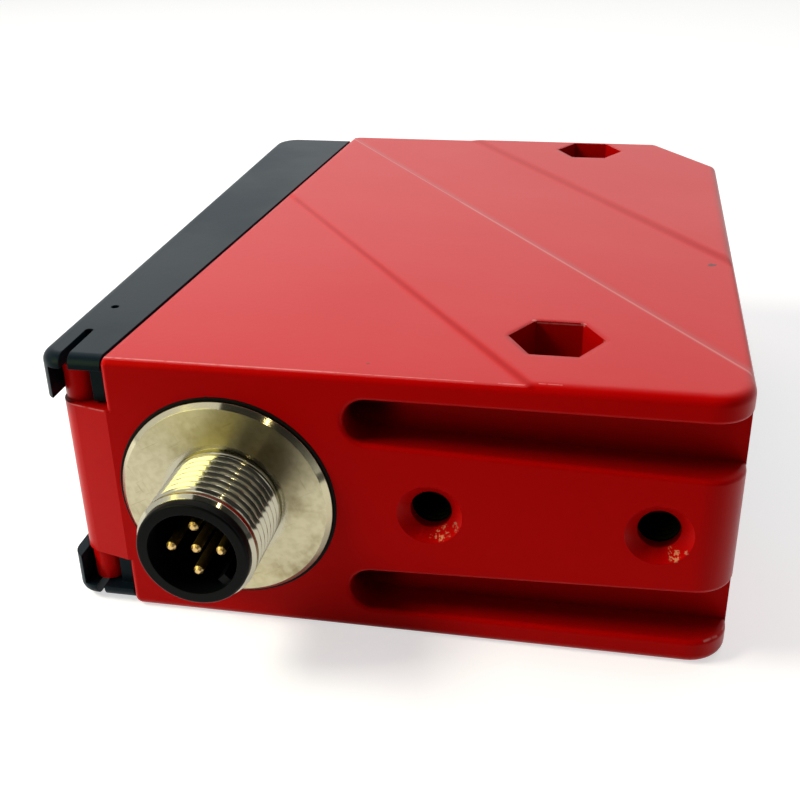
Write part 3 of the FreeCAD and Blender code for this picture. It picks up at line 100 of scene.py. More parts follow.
class Graph:
    """Adds nodes to one node tree and wires them together."""

    def __init__(self, tree: bpy.types.NodeTree) -> None:
        """Keeps the tree that the nodes go to."""
        self.tree = tree

    def fill(self, item: Node, values: Wires) -> None:
        """Links a node's inputs to outputs, or sets them to plain values.

        Args:
            item: the node.
            values: outputs and plain values, by the name or place of the input.
        """
        for key, value in values.items():
            if isinstance(value, Socket):
                self.tree.links.new(value, item.inputs[key])
            else:
                item.inputs[key].default_value = value

    def node(self, kind: str, values: Wires | None = None, **settings: object) -> Node:
        """Adds one node.

        Args:
            kind: the node's type name.
            values: what its inputs are filled with.
            settings: properties of the node to set.

        Returns:
            The new node.
        """
        item = self.tree.nodes.new(kind)
        for name, value in settings.items():
            setattr(item, name, value)
        self.fill(item, values or {})
        return item

    def math(self, operation: str, first: Wire, second: Wire = 0.0) -> Socket:
        """Gives the result of a maths operation on one value or two."""
        return self.node("ShaderNodeMath", {0: first, 1: second}, operation=operation).outputs[0]

    def times(self, first: Wire, second: Wire) -> Socket:
        """Gives the product of two values."""
        return self.math("MULTIPLY", first, second)

    def vector(self, operation: str, first: Wire, second: Wire) -> Node:
        """Adds a vector maths node, whose outputs are a vector and a value."""
        return self.node("ShaderNodeVectorMath", {0: first, 1: second}, operation=operation)

    def blend(self, factor: Wire, low: Wire, high: Wire) -> Socket:
        """Mixes two colours: a factor of 0 gives the first and 1 the second."""
        values = {MIX_FACTOR: factor, MIX_FIRST: low, MIX_SECOND: high}
        return self.node("ShaderNodeMix", values, data_type="RGBA").outputs[MIX_RESULT]

    def ramp(self, value: Wire, low: Wire, high: Wire, bottom: Wire = 0.0, top: Wire = 1.0) -> Socket:
        """Steps smoothly from bottom to top as a value goes from low to high."""
        values = dict(enumerate((value, low, high, bottom, top)))
        return self.node("ShaderNodeMapRange", values, interpolation_type="SMOOTHSTEP").outputs[0]

    def between(self, mask: Wire, low: Wire, high: Wire) -> Socket:
        """Gives the first value where a mask is 0 and the second where it is 1."""
        return self.ramp(mask, 0.0, 1.0, low, high)

    def noise(self, scale: Wire, detail: float = 2.0, where: Wire | None = None) -> Socket:
        """Adds cloudy noise.

        Args:
            scale: clouds to the metre.
            detail: octaves of finer clouds.
            where: coordinates to use in place of the piece's own.

        Returns:
            The noise, from 0 to 1.
        """
        place = self.place() if where is None else where
        values = {"Vector": place, "Scale": scale, "Detail": detail}
        return self.node("ShaderNodeTexNoise", values).outputs["Fac"]

    def place(self) -> Socket:
        """Gives the piece's own coordinates, in metres."""
        return self.node("ShaderNodeTexCoord").outputs["Object"]

    def normal(self) -> Socket:
        """Gives the surface's true normal."""
        return self.node("ShaderNodeNewGeometry").outputs["Normal"]

    def rounded(self, radius: Wire) -> Socket:
        """Gives the normal of a surface with rounded edges, from their radius in metres."""
        return self.node("ShaderNodeBevel", {"Radius": radius}, samples=BEVEL_SAMPLES).outputs["Normal"]


class Kind(Enum):
    """What a socket of an effect carries."""

    VALUE = "NodeSocketFloat"
    VECTOR = "NodeSocketVector"


class Effect:
    """A surface effect that finishes use, kept as one node group."""

    name = ""
    takes: tuple[str, ...] = ()
    vectors: tuple[str, ...] = ()
    gives: tuple[str, ...] = ("mask",)

    def wire(self, graph: Graph, given: Sockets) -> Results:
        """Builds the inside of the group.

        Args:
            graph: the group's own nodes.
            given: the group's inputs by name.

        Returns:
            The group's outputs by name.
        """
        raise NotImplementedError

    def tree(self) -> bpy.types.NodeTree:
        """Finds the group, or builds it the first time.

        Returns:
            The group.
        """
        known = bpy.data.node_groups.get(self.name)
        if known:
            return known
        tree = bpy.data.node_groups.new(self.name, "ShaderNodeTree")
        for names, side in ((self.takes, "INPUT"), (self.gives, "OUTPUT")):
            for name in names:
                kind = Kind.VECTOR if name in self.vectors else Kind.VALUE
                tree.interface.new_socket(name, in_out=side, socket_type=kind.value)
        graph = Graph(tree)
        entry = graph.node("NodeGroupInput")
        graph.node("NodeGroupOutput", self.wire(graph, entry.outputs))
        return tree

    def on(self, graph: Graph, **values: Wire) -> Sockets:
        """Places the effect in a material, fills its inputs and gives its outputs."""
        return graph.node("ShaderNodeGroup", values, node_tree=self.tree()).outputs


class Grain(Effect):
    """Fine unevenness of a painted, moulded or coated surface."""

    name = "fine_grain"
    takes = ("scale", "coarse")
    gives = ("height",)

    def wire(self, graph: Graph, given: Sockets) -> Results:
        """Adds fine clouds to coarser ones."""
        fine = graph.noise(given["scale"], detail=3.0)
        return {"height": graph.math("ADD", fine, graph.noise(given["coarse"], detail=1.0))}


class Clouds(Effect):
    """Soft patches, such as stains, haze or handling marks."""

    name = "soft_patches"
    takes = ("scale", "low", "high")

    def wire(self, graph: Graph, given: Sockets) -> Results:
        """Cuts noise between two levels."""
        return {"mask": graph.ramp(graph.noise(given["scale"], detail=4.0), given["low"], given["high"])}


class WornEdge(Effect):
    """Broken line along the sharp edges of a piece."""

    name = "worn_edge"
    takes = ("width", "breaks", "amount")
    turn: Span = (0.03, 0.2)
    gaps: Span = (0.48, 0.66)

    def wire(self, graph: Graph, given: Sockets) -> Results:
        """Finds edges where the rounded normal leaves the true one.

        Args:
            graph: the group's own nodes.
            given: the group's inputs by name.

        Returns:
            The mask of the edges.
        """
        same = graph.vector("DOT_PRODUCT", graph.rounded(given["width"]), graph.normal()).outputs["Value"]
        edge = graph.ramp(graph.math("SUBTRACT", 1.0, same), *self.turn)
        broken = graph.ramp(graph.noise(given["breaks"], detail=3.0), *self.gaps)
        return {"mask": graph.times(graph.times(edge, broken), given["amount"])}


class Specks(Effect):
    """Scattered dots of dust or pinholes."""

    name = "specks"
    takes = ("scale", "share", "size")

    def wire(self, graph: Graph, given: Sockets) -> Results:
        """Keeps a share of the cells, and a dot in the middle of each.

        Args:
            graph: the group's own nodes.
            given: the group's inputs by name.

        Returns:
            The mask of the dots.
        """
        cells = graph.node("ShaderNodeTexVoronoi", {"Vector": graph.place(), "Scale": given["scale"]})
        pick = graph.node("ShaderNodeSeparateColor", {0: cells.outputs["Color"]})
        kept = graph.math("LESS_THAN", pick.outputs[0], given["share"])
        return {"mask": graph.times(kept, graph.ramp(cells.outputs["Distance"], given["size"], 0.0))}


class Spot(Effect):
    """One ragged mark at a known place."""

    name = "ragged_spot"
    takes = ("centre", "radius", "ragged")
    vectors = ("centre",)
    swing = 2.6
    rim: Span = (1.0, 0.8)

    def wire(self, graph: Graph, given: Sockets) -> Results:
        """Compares the distance from the centre with an uneven radius.

        Args:
            graph: the group's own nodes.
            given: the group's inputs by name.

        Returns:
            The mask of the mark.
        """
        away = graph.vector("DISTANCE", graph.place(), given["centre"]).outputs["Value"]
        uneven = graph.math("SUBTRACT", graph.noise(given["ragged"], detail=4.0), NOISE_MIDDLE)
        ratio = graph.math("DIVIDE", away, given["radius"])
        share = graph.math("ADD", ratio, graph.times(uneven, self.swing))
        return {"mask": graph.ramp(share, *self.rim)}


class Streak(Effect):
    """A broken line between two known places."""

    name = "broken_streak"
    takes = ("start", "run", "width", "breaks")
    vectors = ("start", "run")
    gaps: Span = (0.2, 0.55)

    def wire(self, graph: Graph, given: Sockets) -> Results:
        """Measures the distance from the nearest point of the line and breaks it with noise.

        Args:
            graph: the group's own nodes.
            given: the group's inputs by name.

        Returns:
            The mask of the line.
        """
        run = given["run"]
        offset = graph.vector("SUBTRACT", graph.place(), given["start"]).outputs["Vector"]
        along = graph.vector("DOT_PRODUCT", offset, run).outputs["Value"]
        whole = graph.vector("DOT_PRODUCT", run, run).outputs["Value"]
        share = graph.math("MINIMUM", graph.math("MAXIMUM", graph.math("DIVIDE", along, whole), 0.0), 1.0)
        reach = graph.node("ShaderNodeVectorMath", {0: run, "Scale": share}, operation="SCALE")
        away = graph.vector("DISTANCE", offset, reach.outputs["Vector"]).outputs["Value"]
        broken = graph.ramp(graph.noise(given["breaks"], detail=3.0), *self.gaps)
        return {"mask": graph.times(graph.ramp(away, given["width"], 0.0), broken)}


class FacingUp(Effect):
    """Patches on what faces up: thin dust on mouldings, and on the paint the upward edges that carry a
    painted highlight.
    """

    name = "facing_up_dust_and_highlight"
    takes = ("amount", "scale")
    gives = ("mask", "up")
    tilt: Span = (0.5, 1.0)
    patches: Span = (0.35, 0.75)

    def wire(self, graph: Graph, given: Sockets) -> Results:
        """Takes the upward share of the normal and breaks it with noise.

        Args:
            graph: the group's own nodes.
            given: the group's inputs by name.

        Returns:
            The mask of the patches, and the upward share alone.
        """
        parts = graph.node("ShaderNodeSeparateXYZ", {0: graph.normal()})
        up = graph.ramp(parts.outputs["Z"], *self.tilt)
        patch = graph.ramp(graph.noise(given["scale"], detail=5.0), *self.patches)
        return {"mask": graph.times(graph.times(up, patch), given["amount"]), "up": up}


class Finish:
    """What every finish shares: a material with one Principled shader."""

    name: str

    def material(self) -> bpy.types.Material:
        """Finds the material, or builds it the first time.

        Returns:
            The material.
        """
        known = bpy.data.materials.get(self.name)
        if known:
            return known
        made = bpy.data.materials.new(self.name)
        made.use_nodes = True
        self.wire(Graph(made.node_tree), made.node_tree.nodes["Principled BSDF"])
        return made

    def wire(self, graph: Graph, shader: Node) -> None:
        """Sets the shader and the nodes that feed it.

        Args:
            graph: the material's nodes.
            shader: its Principled shader.
        """
        raise NotImplementedError

    @staticmethod
    def relief(graph: Graph, height: Wire, depth: float, rounding: Wire) -> Socket:
        """Makes surface relief over edges that catch the light.

        Args:
            graph: the material's nodes.
            height: relief from 0 to 1.
            depth: real depth of the relief, in metres.
            rounding: radius of the edges, in metres.

        Returns:
            The normal.
        """
        values = {"Strength": 1.0, "Distance": depth, "Height": height, "Normal": graph.rounded(rounding)}
        return graph.node("ShaderNodeBump", values).outputs["Normal"]


class Mark(Enum):
    """What a mark in the paint shows."""

    BARE = "bare"
    DARK = "dark"
    # pale paint: worn spots, dust specks, and painted highlights along edges and steps
    PALE = "pale"
    # painted shade along the slanted steps
    PAINTED_SHADE = "pooled"
    # painted shadow in the closed ends of the grooves
    PAINTED_SHADOW = "grimy"


class Breaks(Enum):
    """How finely a line in the paint is broken, in clouds to the metre."""

    NONE = 0.0
    WIDE = 1300.0
    FINE = 2400.0


@dataclass(frozen=True)
class Chip:
    """One mark in the paint, with its place and radius in millimetres."""

    mark: Mark
    centre: Point
    radius: float


@dataclass(frozen=True)
class PaintLine:
    """One line laid over the paint, as wear, a painted highlight or painted shade, with its ends and width in
    millimetres.
    """

    start: Point
    end: Point
    width: float
    mark: Mark = Mark.PALE
    breaks: Breaks = Breaks.WIDE


@dataclass(frozen=True)
class Paint(Finish):
    """Semi-gloss paint on a die-casting, with its chips, lines, specks and painted shade in recesses."""

    name: str
    colour: Colour
    deep: Colour
    # colour of the painted shade in recesses, grooves and pockets
    recess_shade: Colour
    marks: dict[Mark, Colour]
    chips: tuple[Chip, ...]
    lines: tuple[PaintLine, ...]
    roughness: float
    gloss: float
    tint: Colour
    patchy: float = 0.35
    recess_reach: float = 8.0 * MM
    openness: Span = (0.9, 0.35)
    speckled: float = 0.6
    metallic: float = 0.2
    uneven: float = 0.015
    depth: float = 0.006 * MM
    rounding: float = 1.0 * MM

    def wire(self, graph: Graph, shader: Node) -> None:
        """Lays patches, painted shade in recesses, specks, lines and chips over the coat.

        Args:
            graph: the material's nodes.
            shader: its Principled shader.
        """
        grain = Grain().on(graph, scale=1500.0, coarse=420.0)
        patches = Clouds().on(graph, scale=32.0, low=0.3, high=0.7)
        colour = graph.blend(graph.times(patches["mask"], self.patchy), self.colour, self.deep)
        # Painted shade: the coat darkens towards the recess shade colour where ambient occlusion finds a
        # recess.
        around = graph.node("ShaderNodeAmbientOcclusion", {"Distance": self.recess_reach},
                            samples=RECESS_SAMPLES, only_local=True)
        colour = graph.blend(graph.ramp(around.outputs["AO"], *self.openness), colour, self.recess_shade)
        # Pale edges kept to edges that face up: partly wear, partly a painted highlight.
        edge = WornEdge().on(graph, width=0.3 * MM, breaks=1100.0, amount=0.5)
        upper = FacingUp().on(graph, amount=1.0, scale=400.0)
        colour = graph.blend(graph.times(edge["mask"], upper["mask"]), colour, self.marks[Mark.PALE])
        specks = Specks().on(graph, scale=160.0, share=0.06, size=0.025)
        colour = graph.blend(graph.times(specks["mask"], self.speckled), colour, self.marks[Mark.PALE])
        for line in self.lines:
            start = Vector(line.start) * MM
            run = Vector(line.end) * MM - start
            streak = Streak().on(graph, start=start, run=run, width=line.width * MM, breaks=line.breaks.value)
            colour = graph.blend(streak["mask"], colour, self.marks[line.mark])
        flecks = Clouds().on(graph, scale=3200.0, low=0.5, high=0.57)
        bare = 0.0
        for chip in self.chips:
            spot = Spot().on(graph, centre=Vector(chip.centre) * MM, radius=chip.radius * MM, ragged=1600.0)
            shown = spot["mask"]
            if chip.mark is Mark.BARE:
                shown = graph.times(shown, flecks["mask"])
                bare = graph.math("MAXIMUM", bare, shown)
            colour = graph.blend(shown, colour, self.marks[chip.mark])
        rough = graph.between(patches["mask"], self.roughness - self.uneven, self.roughness + self.uneven)
        height = graph.math("SUBTRACT", grain["height"], bare)
        soft = graph.times(upper["up"], self.rounding)
        graph.fill(shader, {
            "Base Color": colour,
            "Metallic": graph.times(bare, self.metallic),
            "Roughness": rough,
            "Specular IOR Level": self.gloss,
            "Specular Tint": self.tint,
            "Normal": self.relief(graph, height, self.depth, soft),
        })


@dataclass(frozen=True)
class Moulding(Finish):
    """Moulded plastic or rubber with a fine texture and rubbed edges."""

    name: str
    colour: Colour
    rubbed: Colour
    roughness: float
    gloss: float
    grain: float
    depth: float
    wear: float = 0.3
    dust: float = 0.0
    sheen: float = 0.0
    sheen_spread: float = 0.3
    sheen_tint: Colour = rgb(0.35, 0.75, 1.0)
    tint: Colour = WHITE
    coarse: float = 0.2
    hazy: float = 0.12
    uneven: float = 0.08
    rounding: float = 0.12 * MM

    def wire(self, graph: Graph, shader: Node) -> None:
        """Sets the texture, the rubbed edges and a little dust.

        Args:
            graph: the material's nodes.
            shader: its Principled shader.
        """
        grain = Grain().on(graph, scale=self.grain, coarse=self.grain * self.coarse)
        patches = Clouds().on(graph, scale=55.0, low=0.35, high=0.7)
        edge = WornEdge().on(graph, width=0.2 * MM, breaks=900.0, amount=self.wear)
        dust = FacingUp().on(graph, amount=self.dust, scale=300.0)
        hazed = graph.math("MAXIMUM", edge["mask"], graph.times(patches["mask"], self.hazy))
        worn = graph.math("MAXIMUM", hazed, dust["mask"])
        graph.fill(shader, {
            "Base Color": graph.blend(worn, self.colour, self.rubbed),
            "Roughness": graph.between(patches["mask"], self.roughness, self.roughness + self.uneven),
            "Specular IOR Level": self.gloss,
            "Specular Tint": self.tint,
            "Sheen Weight": self.sheen,
            "Sheen Roughness": self.sheen_spread,
            "Sheen Tint": self.sheen_tint,
            "Normal": self.relief(graph, grain["height"], self.depth, self.rounding),
        })


@dataclass(frozen=True)
class Metal(Finish):
    """Bare or plated metal with stains and tool marks."""

    name: str
    colour: Colour
    stain: Colour
    roughness: float
    stains: float = 0.5
    uneven: float = 0.25
    scuffs: float = 0.4
    depth: float = 0.0012 * MM
    rounding: float = 0.08 * MM

    def dirt(self, graph: Graph) -> Socket:
        """Makes small stains within wide patches.

        Args:
            graph: the material's nodes.

        Returns:
            Their mask.
        """
        clouds = Clouds().on(graph, scale=420.0, low=0.45, high=0.75)
        wide = Clouds().on(graph, scale=110.0, low=0.4, high=0.7)
        return graph.times(graph.times(clouds["mask"], wide["mask"]), self.stains)

    def scuffed(self, graph: Graph) -> Socket:
        """Gives the height of fine scuffs."""
        grain = Grain().on(graph, scale=2600.0, coarse=600.0)
        return graph.times(grain["height"], self.scuffs)

    @staticmethod
    def worn(graph: Graph, colour: Wire) -> Socket:
        """Lays bright worn edges over a colour."""
        edge = WornEdge().on(graph, width=0.15 * MM, breaks=1200.0, amount=0.3)
        return graph.blend(edge["mask"], colour, WORN_METAL)

    def wire(self, graph: Graph, shader: Node) -> None:
        """Lays stains and fine scuffs over the metal.

        Args:
            graph: the material's nodes.
            shader: its Principled shader.
        """
        dirt = self.dirt(graph)
        graph.fill(shader, {
            "Base Color": self.worn(graph, graph.blend(dirt, self.colour, self.stain)),
            "Metallic": 1.0,
            "Roughness": graph.between(dirt, self.roughness, self.roughness + self.uneven),
            "Normal": self.relief(graph, self.scuffed(graph), self.depth, self.rounding),
        })


@dataclass(frozen=True)
class TurnedPlating(Metal):
    """Plated turned metal: a bright thread and rim, and between them a satin, stained face."""

    thread_colour: Colour = rgb(0.42, 0.4, 0.31)
    bright: float = 0.14
    thread_radius: float = 6.1 * MM
    face_radius: float = 6.9 * MM
    rim_radius: float = 10.6 * MM
    rim_fade: float = 0.1 * MM
    rings: float = 0.09 * MM
    brushed: float = 0.8
    brush_turn: float = 0.25
    mottled: float = 0.22
    scored: float = 0.3
    score_scale: float = 300.0
    score_stretch: float = 20.0
    score_angles: Span = (0.5, -1.1)
    score_peaks: Span = (0.66, 0.72)
    uneven: float = 0.12
    depth: float = 0.0014 * MM

    def scratches(self, graph: Graph) -> Wire:
        """Draws short fine scores that run two ways.

        Args:
            graph: the material's nodes.

        Returns:
            Their mask.
        """
        found = 0.0
        for angle in self.score_angles:
            turn = graph.node("ShaderNodeVectorRotate", {"Vector": graph.place(), "Angle": angle},
                              rotation_type="Y_AXIS")
            thin = graph.vector("MULTIPLY", turn.outputs["Vector"], (self.score_stretch, 1.0, 1.0))
            noise = graph.noise(self.score_scale, where=thin.outputs["Vector"])
            found = graph.math("MAXIMUM", found, graph.ramp(noise, *self.score_peaks))
        return found

    def wire(self, graph: Graph, shader: Node) -> None:
        """Adds lathe rings, scratches and their stretched highlight to the stained metal.

        Args:
            graph: the material's nodes.
            shader: its Principled shader.
        """
        flat = graph.vector("MULTIPLY", graph.place(), ACROSS_Y).outputs["Vector"]
        away = graph.vector("LENGTH", flat, flat).outputs["Value"]
        rings = graph.math("SINE", graph.times(graph.math("DIVIDE", away, self.rings), math.tau))
        beyond = graph.ramp(away, self.thread_radius, self.face_radius)
        within = graph.ramp(away, self.rim_radius + self.rim_fade, self.rim_radius)
        face = graph.times(beyond, within)
        mottle = Clouds().on(graph, scale=1500.0, low=0.35, high=0.7)
        scratch = self.scratches(graph)
        dirt = graph.math("ADD", self.dirt(graph), graph.times(mottle["mask"], self.mottled))
        dirt = graph.times(graph.math("MINIMUM", dirt, 1.0), face)
        colour = graph.blend(beyond, self.thread_colour, graph.blend(dirt, self.colour, self.stain))
        scored = graph.times(scratch, graph.times(face, self.scored))
        smooth = graph.between(face, self.bright, self.roughness)
        turned = graph.node("ShaderNodeTangent", direction_type="RADIAL", axis="Y")
        height = graph.math("SUBTRACT", graph.math("ADD", self.scuffed(graph), rings), scratch)
        graph.fill(shader, {
            "Base Color": self.worn(graph, graph.blend(scored, colour, self.stain)),
            "Metallic": 1.0,
            "Roughness": graph.math("ADD", smooth, graph.times(dirt, self.uneven)),
            "Anisotropic": self.brushed,
            "Anisotropic Rotation": self.brush_turn,
            "Tangent": turned.outputs["Tangent"],
            "Normal": self.relief(graph, graph.times(height, face), self.depth, self.rounding),
        })


@dataclass(frozen=True)
class Glass(Finish):
    """Clear or tinted glass with faint smears."""

    name: str
    colour: Colour
    roughness: float
    index: float = 1.5
    smeared: float = 0.05

    def wire(self, graph: Graph, shader: Node) -> None:
        """Smears change only the roughness.

        Args:
            graph: the material's nodes.
            shader: its Principled shader.
        """
        smear = Clouds().on(graph, scale=90.0, low=0.45, high=0.75)
        graph.fill(shader, {
            "Base Color": self.colour,
            "Transmission Weight": 1.0,
            "IOR": self.index,
            "Roughness": graph.between(smear["mask"], self.roughness, self.roughness + self.smeared),
        })


@dataclass(frozen=True)
class Laminate(Finish):
    """Coated circuit board with tracks and pads under the coating."""

    name: str
    colour: Colour
    track: Colour
    pad: Colour
    pitch: float
    tracks_to_cell: float = 4.0
    track_sides: Span = (0.55, 0.62)
    pads_to_cell: float = 0.6
    pad_shine: float = 0.9
    roughness: float = 0.38
    track_roughness: float = 0.3
    depth: float = 0.02 * MM
    rounding: float = 0.05 * MM

    def wire(self, graph: Graph, shader: Node) -> None:
        """Draws tracks from cells and pads from scattered dots.

        Args:
            graph: the material's nodes.
            shader: its Principled shader.
        """
        cells = graph.node("ShaderNodeTexVoronoi", {"Vector": graph.place(), "Scale": 1.0 / self.pitch},
                           distance="MANHATTAN", feature="F1")
        bands = graph.times(cells.outputs["Distance"], self.tracks_to_cell)
        tracks = graph.ramp(graph.math("FRACT", bands), *self.track_sides)
        pads = Specks().on(graph, scale=self.pads_to_cell / self.pitch, share=0.5, size=0.2)
        colour = graph.blend(tracks, self.colour, self.track)
        raised = graph.math("ADD", tracks, pads["mask"])
        graph.fill(shader, {
            "Base Color": graph.blend(pads["mask"], colour, self.pad),
            "Metallic": graph.times(pads["mask"], self.pad_shine),
            "Roughness": graph.between(tracks, self.roughness, self.track_roughness),
            "Normal": self.relief(graph, raised, self.depth, self.rounding),
        })


# Colours of the marks in the paint: wear, painted highlights, painted shade and painted shadow.
MARK_COLOURS = {
    Mark.BARE: rgb(0.5, 0.18, 0.11),
    Mark.DARK: rgb(0.12, 0.02, 0.02),
    Mark.PALE: rgb(0.75, 0.2, 0.19),
    Mark.PAINTED_SHADE: rgb(0.43, 0.001, 0.001),
    Mark.PAINTED_SHADOW: rgb(0.015, 0.001, 0.001),
}
PAINT_CHIPS = (
    # Bare metal in the countersinks
    Chip(Mark.BARE, (-10.1, -47.3, -2.4), 1.0),
    Chip(Mark.BARE, (-8.6, -47.6, -1.2), 0.6),
    Chip(Mark.BARE, (12.8, -47.3, -2.4), 0.85),
    Chip(Mark.BARE, (13.9, -47.5, -1.7), 0.5),
    # Nicks on the broad side
    Chip(Mark.DARK, (16.24, -12.26, 14.7), 0.5),
    Chip(Mark.DARK, (-17.54, -44.69, 14.7), 0.22),
    # Corners of the near nut pocket
    Chip(Mark.PALE, (-2.6, -32.3, 15.0), 0.3),
    Chip(Mark.PALE, (2.4, -32.6, 15.0), 0.3),
    Chip(Mark.PALE, (4.55, -36.6, 14.9), 0.35),
    # The plug end: a dark mark, and a painted glint on the lower ledge
    Chip(Mark.DARK, (-33.2, -47.8, 11.4), 0.16),
    Chip(Mark.PALE, (-18.3, -46.8, -12.2), 0.2),
)
PAINT_LINES = (
    # Upper edge of the plug end, painted highlight
    PaintLine((-47.6, -47.02, 14.68), (-20.0, -47.02, 14.68), 0.24),
    PaintLine((-20.0, -47.02, 14.68), (-7.0, -47.02, 14.68), 0.12),
    PaintLine((-4.6, -47.02, 14.68), (-1.6, -47.02, 14.68), 0.15, Mark.PALE, Breaks.FINE),
    PaintLine((-0.9, -47.05, 14.96), (1.2, -47.05, 14.98), 0.1, Mark.PALE, Breaks.FINE),
    # Near nut pocket, painted highlight along its edge
    PaintLine((-2.3, -32.4, 14.78), (2.3, -32.4, 14.78), 0.14),
    # Nose, painted highlight along its edge
    PaintLine((-48.6, -46.65, 9.0), (-44.4, -47.7, 9.0), 0.16),
    # Painted glints on the corners at the rear
    PaintLine((16.56, -47.25, -12.33), (17.81, -46.24, -12.33), 0.2),
    PaintLine((18.4, -45.1, -12.33), (18.68, -44.2, -12.33), 0.14),
    PaintLine((16.4, -47.3, 7.37), (17.9, -46.15, 7.37), 0.2),
    # Slanted steps: painted shade along the first and third, painted highlight along the crest of the second
    PaintLine((-39.19, 6.58, 14.85), (-1.41, -47.78, 14.85), 0.52, Mark.PAINTED_SHADE, Breaks.NONE),
    PaintLine((-18.76, 42.2, 14.85), (18.8, -11.85, 14.85), 0.9, Mark.PAINTED_SHADE, Breaks.NONE),
    PaintLine((-40.18, 42.26, 14.97), (-15.92, 7.36, 14.97), 0.2, Mark.PALE, Breaks.NONE),
    PaintLine((-15.92, 7.36, 14.97), (18.88, -42.7, 14.97), 0.36, Mark.PALE, Breaks.NONE),
    # Painted shadow in the closed ends of the grooves
    *(PaintLine((-18.9, -43.5, level), (-16.9, -43.5, level), 3.7, Mark.PAINTED_SHADOW, Breaks.NONE)
      for level in (9.85, -9.85)),
)
CASTING_RED = Paint(
    "red_paint", rgb(0.6, 0.0012, 0.001), deep=rgb(0.54, 0.001, 0.001), recess_shade=rgb(0.36, 0.001, 0.001),
    marks=MARK_COLOURS, chips=PAINT_CHIPS, lines=PAINT_LINES, roughness=0.32, gloss=0.22,
    tint=rgb(1.0, 0.03, 0.03))
FRAME_BLACK = Moulding(
    "frame_plastic", rgb(0.002, 0.006, 0.01), rgb(0.012, 0.02, 0.026), roughness=0.36, gloss=0.09,
    grain=4200.0, depth=0.004 * MM, dust=0.05, sheen=0.15, tint=rgb(0.6, 0.9, 1.0))
PANEL_BLACK = Moulding(
    "panel_plastic", rgb(0.016, 0.017, 0.019), rgb(0.08, 0.08, 0.085), roughness=0.5, gloss=0.35,
    grain=3600.0, depth=0.006 * MM)
INSERT_BLACK = Moulding(
    "insert_plastic", rgb(0.002, 0.003, 0.003), rgb(0.012, 0.014, 0.014), roughness=0.34, gloss=0.07,
    grain=3000.0, depth=0.003 * MM)
CARRIER_BLACK = Moulding(
    "carrier_plastic", rgb(0.008, 0.008, 0.008), rgb(0.03, 0.03, 0.03), roughness=0.7, gloss=0.2,
    grain=2600.0, depth=0.01 * MM)
CHIP_BLACK = Moulding(
    "chip_resin", rgb(0.014, 0.014, 0.015), rgb(0.05, 0.05, 0.05), roughness=0.55, gloss=0.4,
    grain=4000.0, depth=0.005 * MM)
SEAL_RUBBER = Moulding(
    "soft_rubber", rgb(0.003, 0.003, 0.003), rgb(0.01, 0.01, 0.01), roughness=0.6, gloss=0.1,
    grain=2500.0, depth=0.008 * MM)
KEY_GREY = Moulding(
    "key_silicone", rgb(0.16, 0.165, 0.17), rgb(0.3, 0.3, 0.3), roughness=0.6, gloss=0.3,
    grain=3000.0, depth=0.008 * MM)
LAMP_WHITE = Moulding(
    "lamp_resin", rgb(0.7, 0.7, 0.66), rgb(0.5, 0.5, 0.45), roughness=0.35, gloss=0.5,
    grain=2000.0, depth=0.003 * MM)
# Threads of the tapped holes: near black and matt, as painted shade inside the holes.
THREAD_SHADE = Moulding(
    "thread_in_shade", rgb(0.003, 0.004, 0.0035), rgb(0.008, 0.01, 0.009), roughness=0.6, gloss=0.03,
    grain=3000.0, depth=0.004 * MM)
RIBBON_AMBER = Laminate(
    "ribbon_film", rgb(0.42, 0.17, 0.025), track=rgb(0.5, 0.24, 0.06), pad=rgb(0.7, 0.5, 0.2), pitch=1.4 * MM)
BOARD_GREEN = Laminate(
    "board_laminate", rgb(0.008, 0.075, 0.03), track=rgb(0.02, 0.13, 0.05), pad=rgb(0.75, 0.6, 0.3),
    pitch=2.2 * MM)
NICKEL = TurnedPlating(
    "plated_brass", rgb(0.5, 0.46, 0.31), rgb(0.24, 0.19, 0.09), roughness=0.29, stains=0.8)
CONTACT_GOLD = Metal("gold_plate", rgb(0.72, 0.5, 0.2), rgb(0.5, 0.32, 0.1), roughness=0.36, stains=0.2)
FASTENER_STEEL = Metal("screw_steel", rgb(0.55, 0.55, 0.56), rgb(0.25, 0.24, 0.22), roughness=0.32)
BARREL_ALUMINIUM = Metal(
    "turned_aluminium", rgb(0.6, 0.6, 0.61), rgb(0.35, 0.35, 0.35), roughness=0.3, stains=0.3)
WINDOW_GLASS = Glass("float_glass", rgb(0.82, 0.86, 0.87), roughness=0.0)
OPTIC_GLASS = Glass("lens_glass", rgb(0.93, 0.95, 0.98), roughness=0.0)
DISPLAY_SMOKE = Glass("smoked_acrylic", rgb(0.16, 0.17, 0.18), roughness=0.02)
GUIDE_CLEAR = Glass("clear_acrylic", rgb(0.85, 0.9, 0.88), roughness=0.12)


def dress(finish: Finish, *nodes: str) -> None:
    """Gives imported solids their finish.

    Args:
        finish: the finish they share.
        nodes: names of the solids.
    """
    for name in nodes:
        mesh = frame["nodes"][name].data
        mesh.materials.clear()
        mesh.materials.append(finish.material())
        LOG.info("dressed %s with %s", name, finish.name)


@dataclass(frozen=True)
class Station:
    """One ring of a turned piece: its radius and place along the axis, in millimetres."""

    radius: float
    along: float
    threaded: bool = False


